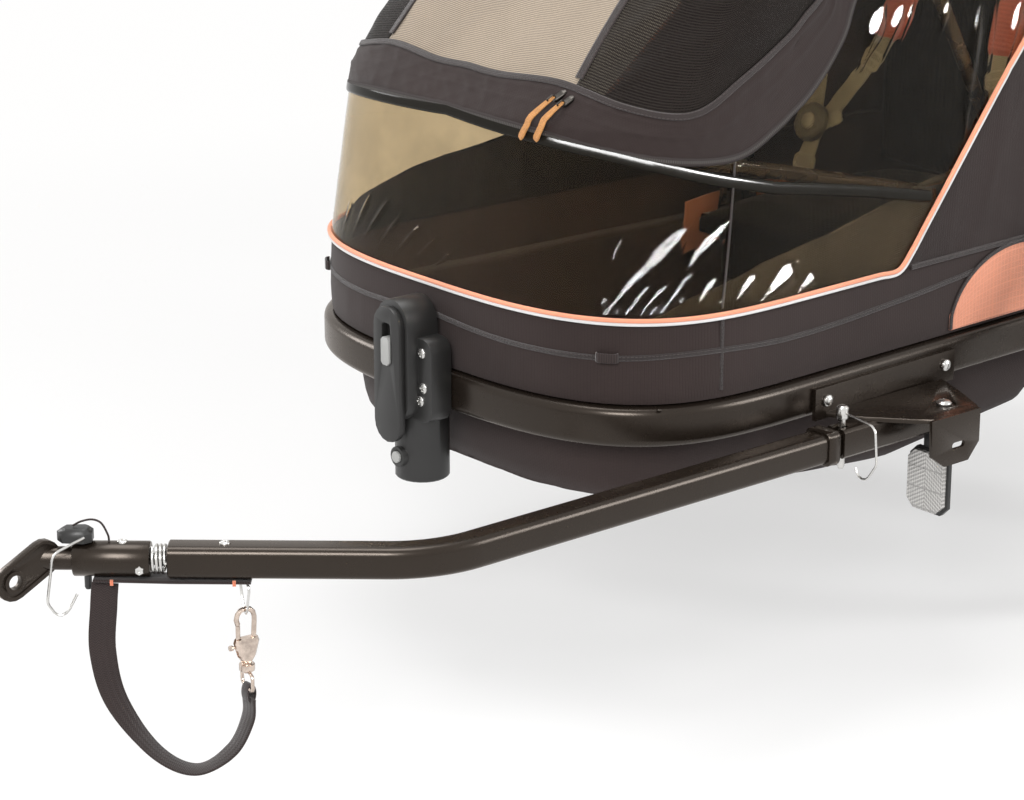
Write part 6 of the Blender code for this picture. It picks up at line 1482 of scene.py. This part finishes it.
def build_flex():
    """The flex spring as a helix, its ends run straight into their seats."""
    wire, turns, sunk = 0.0016, 3.2, 0.0042
    radius = 0.0285 / 2 - wire
    margin = wire + GAP
    share = shares(260)
    angle = 2 * PI * turns * share
    helix = arm(ARM_END + margin + (FLEX_LONG - 2 * margin) * share, radius * np.cos(angle),
                ARM_Z + radius * np.sin(angle))
    head = arm(ARM_END - sunk, radius, ARM_Z)
    last = arm(ARM_END + FLEX_LONG + sunk, radius * np.cos(angle[-1]),
               ARM_Z + radius * np.sin(angle[-1]))
    make("flex_spring_wire", [tube(np.concatenate([[head], helix, [last]]), circle(wire, 12),
                                   up=ARM_ALONG)],
         "steel", "steel", 60.0, "tow_arm", replaces="flex_spring")


def build_hitch():
    """The round hitch tube with its chamfered ends and the screw and the nut that show on it."""
    start = ARM_END + FLEX_LONG
    end = start + HITCH_LONG
    bore = 0.0114
    profile = [(0.0150, start), (0.0158, start + 0.0002), (HITCH_RADIUS, start + 0.0012),
               (HITCH_RADIUS, end - 0.0012), (0.0158, end - 0.0002), (0.0150, end),
               (0.0118, end), (bore, end - 0.0010), (bore, end - 0.040), (bore, start + 0.02),
               (bore, start + 0.001), (0.0120, start)]
    make("hitch_tube_body", [lathe(profile, BEND_VERTEX, ARM_ALONG, 72, True)],
         "frame", "frame", 40.0, "hitch", replaces="hitch_tube")
    make("hitch_screw", [phillips(arm(0.2870, 0.0, HITCH_TOP - 0.0002), UP, 0.0048, 0.0022)],
         "steel", "steel", 40.0, "hitch")
    make("hitch_nut", [hex_head(arm(0.2700, 0.0160, -0.0215), ARM_OUT, 0.0044, 0.0028)],
         "steel", "steel", 40.0, "hitch")


def bow_path(end, lane, half, curved):
    """A bow's centreline: eye, straight foot, leaning leg, and a crossbar with round corners or a
    superellipse nose."""
    foot, nose = 0.05, 0.19
    dy, dz = end[0] - FOLD_Y, end[1] - FOLD_Z
    reach, angle = np.hypot(dy, dz), np.arctan2(dz, dy)

    def at(x, s):
        return np.array([x, FOLD_Y + s * np.cos(angle), FOLD_Z + s * np.sin(angle)])

    if curved:
        turn = np.linspace(0, PI / 2, 60)[1:]
        out = (np.abs(np.cos(turn)) ** 3 + np.abs(np.sin(turn)) ** 3) ** (-1 / 3)
        arc = [at(half * o * np.cos(t), reach - nose + nose * o * np.sin(t))
               for o, t in zip(out, turn)]
        left = [at(lane, 0.0), at(lane, foot), at(half, reach - nose)] + arc
        path = np.array(left + [p * [-1, 1, 1] for p in left[-2::-1]])
    else:
        corners = [at(lane, foot), at(half, reach), at(-half, reach), at(-lane, foot)]
        path = np.concatenate([[at(lane, 0.0)], fillet(corners, 0.06, 16), [at(-lane, 0.0)]])
    return path, np.array([0, -np.sin(angle), np.cos(angle)])


def build_bows():
    """The nose bow and the roof bow, with bored eyes on the fold axis."""
    eye = [(0.0044, -0.0077), (0.0120, -0.0077), (0.0130, -0.0067), (0.0130, 0.0067),
           (0.0120, 0.0077), (0.0044, 0.0077)]
    outer_lane, lane_step = 0.260, 0.0168
    for name, end, lane, half, curved in (
            ("nose_bow", (0.046, 0.306), outer_lane, 0.238, True),
            ("roof_bow", (0.425, 0.622), outer_lane - 2 * lane_step, 0.192, False)):
        path, up = bow_path(end, lane, half, curved)
        eyes = [lathe(eye, (side * lane, FOLD_Y, FOLD_Z), X_AXIS, 40, True) for side, _ in SIDES]
        make(f"{name}_tube", [tube(path, circle(0.008, 20), up=up), *eyes], "frame", "frame",
             body=name, replaces=name)


def build_push_bar():
    """The push bar's foam grip: a sleeve with rounded rims and shallow finger grooves."""
    inner, outer, half, groove = 0.0103, 0.0150, 0.1, 0.0006
    angle = np.radians(47)
    centre = np.array([0, 0.995 + 0.17 * np.cos(angle), 0.57 + 0.17 * np.sin(angle)])
    span = np.linspace(-half, half, 121)
    edge = np.sqrt(np.clip(1 - np.clip((np.abs(span) - 0.096) / 0.004, 0, 1) ** 2, 0, 1))
    ridged = (np.sin(span * 2 * PI / 0.01) > 0.6) * (np.abs(span) < 0.088)
    radius = inner + (outer - inner) * (0.25 + 0.75 * edge) - groove * ridged
    profile = [(inner, -half), *zip(radius, span), (inner, half)]
    make("push_grip_foam", [lathe(profile, centre, X_AXIS, 40, True)], "foam", "foam", 40.0,
         "push_bar", replaces="push_grip")


# Wheels

# Radius and distance from the middle, for one half of the hub and one half of the rim, in tenths
# of a millimetre
HUB = np.array((
    (118, 0), (122, 160), (145, 205), (252, 228), (260, 235), (260, 255), (252, 262), (130, 280),
    (130, 310), (125, 355), (100, 370), (64, 370),
)) / 1e4
RIM = np.array((
    (1970, 0), (1974, 40), (1990, 85), (2010, 108), (2045, 120), (2095, 130), (2125, 135),
    (2130, 128), (2122, 118), (2108, 60), (2100, 0),
)) / 1e4
SPOKES = 20


def tyre_patch(centre, axis, tread):
    """The tyre: an arc closed over the rim's bed, less the tread where the grooves and the slanted
    blocks between them are cut."""
    count, bed, outermost = 720, 0.2134, 0.254
    turn = np.linspace(0, 2 * PI, count + 1)[:-1]
    t = np.linspace(-1, 1, 41)
    angle = np.sign(t) * np.abs(t) ** 0.9 * np.radians(118)
    radial = 0.2338 + 0.0198 * np.cos(angle)
    across = 0.0222 * np.sin(angle)
    radial = np.where(np.abs(t) > 0.93, bed + (radial - bed) * 0.6, radial)
    groove = (np.abs(np.abs(across) - 0.0065) < 0.0012) & (np.cos(angle) > 0.5)
    pitch, lean = np.meshgrid(turn, angle, indexing="ij")
    away = np.abs(lean)
    block = ((np.cos(pitch * 90 + np.sign(lean) * 0.8 + away * 3.0) > 0.72)
             & (away > 0.35) & (away < 1.25))
    r = np.minimum(radial - tread * np.maximum(groove, block), outermost)
    spoke = np.stack([np.zeros(count), np.cos(turn), np.sin(turn)], -1)
    return patch(centre + axis * across[:, None] + r[..., None] * spoke[:, None], True, True)


def build_wheels():
    """Spoked wheels: turned hub and rim, wire spokes with nipples, a valve and a treaded tyre."""
    hub = [(r, -x) for r, x in HUB[:0:-1]] + list(HUB)
    rim = list(RIM) + [(r, -x) for r, x in RIM[-2:0:-1]]
    for side, word in SIDES:
        body = f"wheel_{word}"
        centre, axis = np.array([side * 0.375, 0.80, -0.046]), side * X_AXIS
        make(f"wheel_{word}_metal", [lathe(hub, centre, axis, 64, True),
                                     lathe(rim, centre, axis, 160, True)],
             "alloy", "alloy", 40.0, body, replaces=f"wheel_{word}")
        wires, nipples = [], []
        for k in range(SPOKES):
            turn = 2 * PI * k / SPOKES
            out = np.array([0, np.cos(turn), np.sin(turn)])
            start = centre + out * 0.022 + X_AXIS * (0.0245 if k % 2 else -0.0245)
            end = centre + out * 0.2
            run = unit(end - start)
            wires.append(tube(np.linspace(start, end, 6), circle(0.0011, 10), up=X_AXIS))
            nipples.append(tube([end - run * back for back in (0.014, 0.013, 0.004, 0.0)],
                                circle(0.0021, 12), up=X_AXIS, grow=[0.6, 1, 1, 1.25]))
        make(f"spokes_{word}_wires", wires + nipples, "steel", "alloy", body=body)
        stem = [(0.0015, 0.167), (0.0026, 0.169), (0.0026, 0.178), (0.0019, 0.179),
                (0.0019, 0.1985)]
        valve = np.array([0, np.cos(0.157), np.sin(0.157)])
        make(f"valve_{word}", [lathe(stem, centre, valve, 16)], "steel", "steel", body=body)
        tyre = tyre_patch(centre, axis, bpy.context.scene.trailer_sizes.tread)
        make(f"tyre_{word}_rubber", [tyre], "rubber", "rubber", 28.0, body,
             replaces=f"tyre_{word}")


# Seats

SEAT_WIDE, SEAT_LONG, SEAT_Y, SEAT_Z = 0.41, 0.355, 0.7575, 0.045
SEAT_THICK = 0.05
BACK_FOOT, BACK_HEAD = np.array([0, 0.905, 0.0866]), np.array([0, 0.925, 0.47])


def pad_height(u, v, channels):
    """Height of a stuffed pad as a share of its thickness: a crown that falls at all four sides,
    with grooves along its sewn channels."""
    crown = (1 - np.abs(u) ** 4) ** 0.5 * (1 - np.abs(v) ** 4) ** 0.5
    groove = 0.16 * np.abs(np.cos(PI * channels * (v + 1) / 2)) ** 6 * (1 - np.abs(u) ** 8)
    return 0.35 + 0.65 * crown - groove * crown


def edge_patch(top, low):
    """The wall between two grids of equal size along their four sides."""
    rows, cols = top.shape[:2]
    down, over = np.arange(rows), np.arange(cols)
    sides = ((0 * over, over), (down[1:], 0 * down[1:] + cols - 1),
             (0 * over[1:] + rows - 1, over[-2::-1]), (down[-2:0:-1], 0 * down[-2:0:-1]))
    r, c = [np.concatenate(part) for part in zip(*sides)]
    a, b = top[r, c], low[r, c]
    return patch(np.stack([a, (a + b) / 2, b]), False, True)


def pad_patch(origin, across, along, out, wide, long, thick, channels, seed, split):
    """A cushion: a crowned top over a flat underside, its sides drawn in between the corners, and a
    shallow groove of depth split between the two seats."""
    t = np.linspace(-1, 1, 91)
    t = np.sign(t) * np.abs(t) ** 0.85
    v, u = np.meshgrid(t, t, indexing="ij")
    height = pad_height(u, v, channels)
    height = height - 0.05 * np.exp(-(u / 0.05) ** 2) * (np.abs(v) < 0.93) * split
    inside = (1 - np.abs(u) ** 6) * (1 - np.abs(v) ** 6)
    height = height * (1 + folds(u * 0.2, v * 0.2, seed, 6, 0.07, 0.02) * inside)
    x, y = u * wide / 2 * (1 - 0.03 * v * v), v * long / 2 * (1 - 0.02 * u * u)
    plane = origin + across * x[..., None] + along * y[..., None]
    top, low = plane + out * (height * thick * 0.985)[..., None], plane + out * 0.0004
    uv = np.stack([x, y], -1)
    return [patch(top, uv=uv), patch(low[:, ::-1], uv=uv[:, ::-1]), edge_patch(top, low)]


def build_seats():
    """Bench cushion on its box, and backrest, in one air-mesh cloth with a groove between the
    seats."""
    base = pad_patch(np.array([0, SEAT_Y, SEAT_Z]), X_AXIS, Y_AXIS, UP, SEAT_WIDE, SEAT_LONG,
                     SEAT_THICK, 2, 61, 1.0)
    box = tube([(0, 0.7645, z) for z in (-0.0115, -0.0105, 0.0525)],
               rounded(0.388, 0.318, 0.02, 5), up=Y_AXIS, grow=[0.985, 1, 1])
    cushion = make("seat_base_pad", [*base, box], "seat", "seat", 60.0, replaces="seat_base")
    up = unit(BACK_HEAD - BACK_FOOT)
    out = np.array([0, -up[2], up[1]])
    rest = pad_patch((BACK_FOOT + BACK_HEAD) / 2 - out * 0.002, -X_AXIS, up, out, 0.40,
                     float(np.linalg.norm(BACK_HEAD - BACK_FOOT)), 0.035, 4, 62, 1.2)
    back = make("seat_back_pad", rest, "seat", "seat", 60.0, replaces="seat_back")
    soften(back)


def slide_frame(path, k, long, bar):
    """A moulded strap slide at one point of a strap: a rounded frame of bars swept round a loop,
    with a bar across its middle."""
    wide = 0.031
    along, _, out = [part[k] for part in strap_axes(path, X_AXIS)]
    centre, side = path[k], unit(np.cross(along, out))
    loop, section = rounded(wide, long, 0.005, 5), rounded(bar, bar * 0.8, bar * 0.3, 3)
    return [tube(centre + side * loop[:, :1] + along * loop[:, 1:], section, looped=True, up=out),
            tube([centre - side * wide / 2, centre + side * wide / 2], section, up=out)]


def build_harness():
    """Five-point belts: shoulder straps with soft pads and slides, lap tongues and a crotch strap
    that all meet behind the round buckle, which leans back."""
    web, behind, tilt = 0.025, 0.01205, np.radians(25)
    facing = UP * np.sin(tilt) - Y_AXIS * np.cos(tilt)
    rise = UP * np.cos(tilt) + Y_AXIS * np.sin(tilt)
    for word, (x, y, z) in (("left", (0.13, 0.735, 0.178)), ("right", (-0.13, 0.700, 0.176))):
        back = np.array([x, y, z]) - facing * behind
        straps, pads, fittings = [], [], []
        for side, _ in reversed(SIDES):
            top = np.array([x + side * 0.050, 0.850, 0.40])
            mid = np.array([x + side * 0.052, (y + 0.865) / 2, 0.29])
            low = back + rise * 0.006 + X_AXIS * side * 0.010
            path = smooth_line([top, mid, low], 80)
            straps.append(tape_patch(path, web, 0.0024, X_AXIS))
            pad = smooth_line([top + (mid - top) * 0.05, top + (mid - top) * 0.55 + facing * 0.002,
                               mid + (low - mid) * 0.12], 60)
            pads.append(tape_patch(pad, 0.045, 0.0098, X_AXIS,
                                   np.interp(shares(60), [0, 0.05, 0.2, 0.85, 0.96, 1],
                                             [0.72, 0.94, 1, 1, 0.92, 0.66])))
            fittings += slide_frame(path, 52, 0.020, 0.0042)
            tongue = np.linspace(back + np.array([side * 0.012, 0, 0.004]),
                                 back + np.array([side * 0.034, 0.006, 0.016]), 12)
            fittings.append(tube(tongue, rounded(0.020, 0.0042, 0.0016, 4), up=facing,
                                 grow=np.interp(shares(12), [0, .3, .8, 1],
                                                [1, .85, .95, .7])))
        edge = back - rise * 0.030
        foot_y = edge[1] - 0.012
        crown = pad_height(np.array(2 * x / SEAT_WIDE), np.array(2 * (foot_y - SEAT_Y) / SEAT_LONG),
                           2)
        foot_z = SEAT_Z + SEAT_THICK * float(crown) + 0.0011
        path = smooth_line([back + rise * 0.008, edge, edge - rise * 0.02,
                            np.array([x, foot_y, foot_z])], 50)
        straps.append(tape_patch(path, web, 0.0030, X_AXIS))
        fittings += slide_frame(path, 30, 0.016, 0.0038)
        belt = make(f"harness_{word}_webbing", straps, "olive", "olive",
                    replaces=f"harness_{word}")
        soft = make(f"harness_{word}_pads", pads, "brick", "brick", 60.0)
        hard = make(f"harness_{word}_fittings", fittings, "olive_plastic", "olive", 45.0)
        soften(belt, soft, hard, low=0.478)


# Fittings

def dress(name, look, width):
    """Gives a carried solid its finish: doubles welded, sharp edges rounded by the width and split,
    so that flats stay flat and rims look soft."""
    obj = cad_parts[name]
    obj.data.materials.clear()
    obj.data.materials.append(LOOKS[look])
    modify(obj, "weld", "WELD", merge_threshold=2e-5)
    if width:
        modify(obj, "edges", "BEVEL", width=width, segments=2, limit_method="ANGLE",
               angle_limit=np.radians(38), harden_normals=True, use_clamp_overlap=True)
    modify(obj, "shading", "EDGE_SPLIT", split_angle=np.radians(42))
    obj.data.polygons.foreach_set("use_smooth", np.ones(len(obj.data.polygons), dtype=bool))


# The carried solids by finish and width of their rounded edges
CARRIED = {
    ("frame", 0.0): ("main_bow", "push_bar"),
    ("frame", 0.0007): ("hitch_arm",),
    ("frame", 0.0008): ("axle_beam", "pivot_plate_left", "pivot_plate_right"),
    ("frame", 0.0009): ("hinge_bracket",),
    ("steel", 0.0): ("lock_pin_ring", "hitch_pin_ring", "triangle_ring"),
    ("steel", 0.0003): ("axle_left", "axle_right"),
    ("steel", 0.0004): ("pivot_bolt", "bracket_bolt_front", "bracket_bolt_rear", "lock_pin"),
    ("hook", 0.0002): ("hook_gate",),
    ("hook", 0.0006): ("snap_hook",),
    ("rubber", 0.0): ("flex_core",),
    ("plastic", 0.0007): ("reflector_base",),
    ("plastic", 0.0008): ("hitch_pin", "clamp_back"),
    ("plastic", 0.0009): ("receptacle_body",),
    ("plastic", 0.0012): ("receptacle_lever",),
    ("grey", 0.0003): ("release_button", "hub_button_left", "hub_button_right"),
    ("grey", 0.0005): ("lever_catch",),
    ("lens", 0.0006): ("reflector_lens",),
    ("buckle", 0.0006): ("buckle_left", "buckle_right"),
    ("olive_plastic", 0.0003): ("buckle_button_left", "buckle_button_right"),
}


def build_fittings():
    """Screws of the receptacle, a rivet of the hoop, and the finishes of the carried solids."""
    for (look, width), names in CARRIED.items():
        for name in names:
            dress(name, look, width)
    screws = [phillips((x, -0.0272, z), -Y_AXIS, radius, 0.0026)
              for x, z, radius in ((0.0300, 0.0140, 0.0058), (0.0350, 0.0290, 0.0058),
                                   (0.0330, 0.0660, 0.0056))]
    make("receptacle_screws", screws, "steel", "steel", 40.0)
    rivet = [(0.0001, 0.0014), (0.0018, 0.0011), (0.0028, 0.0), (0.0028, -0.001)]
    make("hoop_rivet", [lathe(rivet, (0.271, 0.085, HOOP_TALL - 0.0002), UP, 24)],
         "frame", "frame")


# Operators

class TRAILER_OT_looks(bpy.types.Operator):
    """Make the finishes of cloth, film, paint and metal"""
    bl_idname = "trailer.looks"
    bl_label = "Finishes"

    def execute(self, context):
        prepare_looks()
        return {"FINISHED"}


class TRAILER_OT_stage(bpy.types.Operator):
    """Set the camera, the floor, the lamps and the world"""
    bl_idname = "trailer.stage"
    bl_label = "Stage"

    def execute(self, context):
        build_stage()
        return {"FINISHED"}


class TRAILER_OT_cords(bpy.types.Operator):
    """Hang the safety strap and the hitch pin's lanyard"""
    bl_idname = "trailer.cords"
    bl_label = "Cords and straps"

    def execute(self, context):
        build_safety_strap()
        build_lanyard()
        build_strap_end()
        return {"FINISHED"}


class TRAILER_OT_frame(bpy.types.Operator):
    """Bend the hoop, the bows and the push bar's grip"""
    bl_idname = "trailer.frame"
    bl_label = "Frame"

    def execute(self, context):
        build_hoop()
        build_bows()
        build_push_bar()
        return {"FINISHED"}


class TRAILER_OT_tow_arm(bpy.types.Operator):
    """Bend the tow tube and fit its spring, hitch tube and screws"""
    bl_idname = "trailer.tow_arm"
    bl_label = "Tow arm"

    def execute(self, context):
        build_tow_tube()
        build_flex()
        build_hitch()
        return {"FINISHED"}


class TRAILER_OT_wheels(bpy.types.Operator):
    """Turn the hubs and rims, lace the spokes and fit the tyres"""
    bl_idname = "trailer.wheels"
    bl_label = "Wheels"

    def execute(self, context):
        build_wheels()
        return {"FINISHED"}


class TRAILER_OT_tub(bpy.types.Operator):
    """Sew the tub, its side panels, loops and lining"""
    bl_idname = "trailer.tub"
    bl_label = "Tub"

    def execute(self, context):
        build_tub()
        build_band_seams()
        build_side_panels()
        build_loops()
        build_lining()
        return {"FINISHED"}


class TRAILER_OT_cabin(bpy.types.Operator):
    """Stretch the windows, the door, the cover, the roof and the piping"""
    bl_idname = "trailer.cabin"
    bl_label = "Cabin"

    def execute(self, context):
        build_front_film()
        build_door()
        build_zip_pulls()
        build_side_windows()
        build_rear_cover()
        build_roof()
        build_piping()
        return {"FINISHED"}


class TRAILER_OT_seats(bpy.types.Operator):
    """Stuff the seats and lay the harnesses"""
    bl_idname = "trailer.seats"
    bl_label = "Seats and harness"

    def execute(self, context):
        build_seats()
        build_harness()
        return {"FINISHED"}


class TRAILER_OT_fittings(bpy.types.Operator):
    """Finish the carried solids and add their screws"""
    bl_idname = "trailer.fittings"
    bl_label = "Fittings"

    def execute(self, context):
        build_fittings()
        return {"FINISHED"}


STEPS = (TRAILER_OT_looks, TRAILER_OT_stage, TRAILER_OT_cords, TRAILER_OT_frame,
         TRAILER_OT_tow_arm, TRAILER_OT_wheels, TRAILER_OT_tub, TRAILER_OT_cabin,
         TRAILER_OT_seats, TRAILER_OT_fittings)


class TRAILER_PT_panel(bpy.types.Panel):
    """Lists the building steps with their sizes and colours"""
    bl_idname = "TRAILER_PT_panel"
    bl_label = "Bicycle Trailer"
    bl_space_type = "VIEW_3D"
    bl_region_type = "UI"
    bl_category = "Trailer"

    def draw(self, context):
        layout = self.layout
        for group in (context.scene.trailer_sizes, context.scene.trailer_colours):
            box = layout.box()
            for key in group.__annotations__:
                box.prop(group, key)
        for step in STEPS:
            layout.operator(step.bl_idname)


CLASSES = (TRAILER_PG_colours, TRAILER_PG_sizes, *STEPS, TRAILER_PT_panel)


def register():
    """Adds the classes and the scene's settings."""
    for cls in CLASSES:
        bpy.utils.register_class(cls)
    bpy.types.Scene.trailer_colours = bpy.props.PointerProperty(type=TRAILER_PG_colours)
    bpy.types.Scene.trailer_sizes = bpy.props.PointerProperty(type=TRAILER_PG_sizes)


def unregister():
    """Takes the classes and the scene's settings away again."""
    del bpy.types.Scene.trailer_sizes
    del bpy.types.Scene.trailer_colours
    for cls in reversed(CLASSES):
        bpy.utils.unregister_class(cls)


def main():
    """Runs every building step in order."""
    register()
    bpy.ops.trailer.looks()
    bpy.ops.trailer.stage()
    bpy.ops.trailer.cords()
    bpy.ops.trailer.frame()
    bpy.ops.trailer.tow_arm()
    bpy.ops.trailer.wheels()
    bpy.ops.trailer.tub()
    bpy.ops.trailer.cabin()
    bpy.ops.trailer.seats()
    bpy.ops.trailer.fittings()


if __name__ == "__main__":
    main()
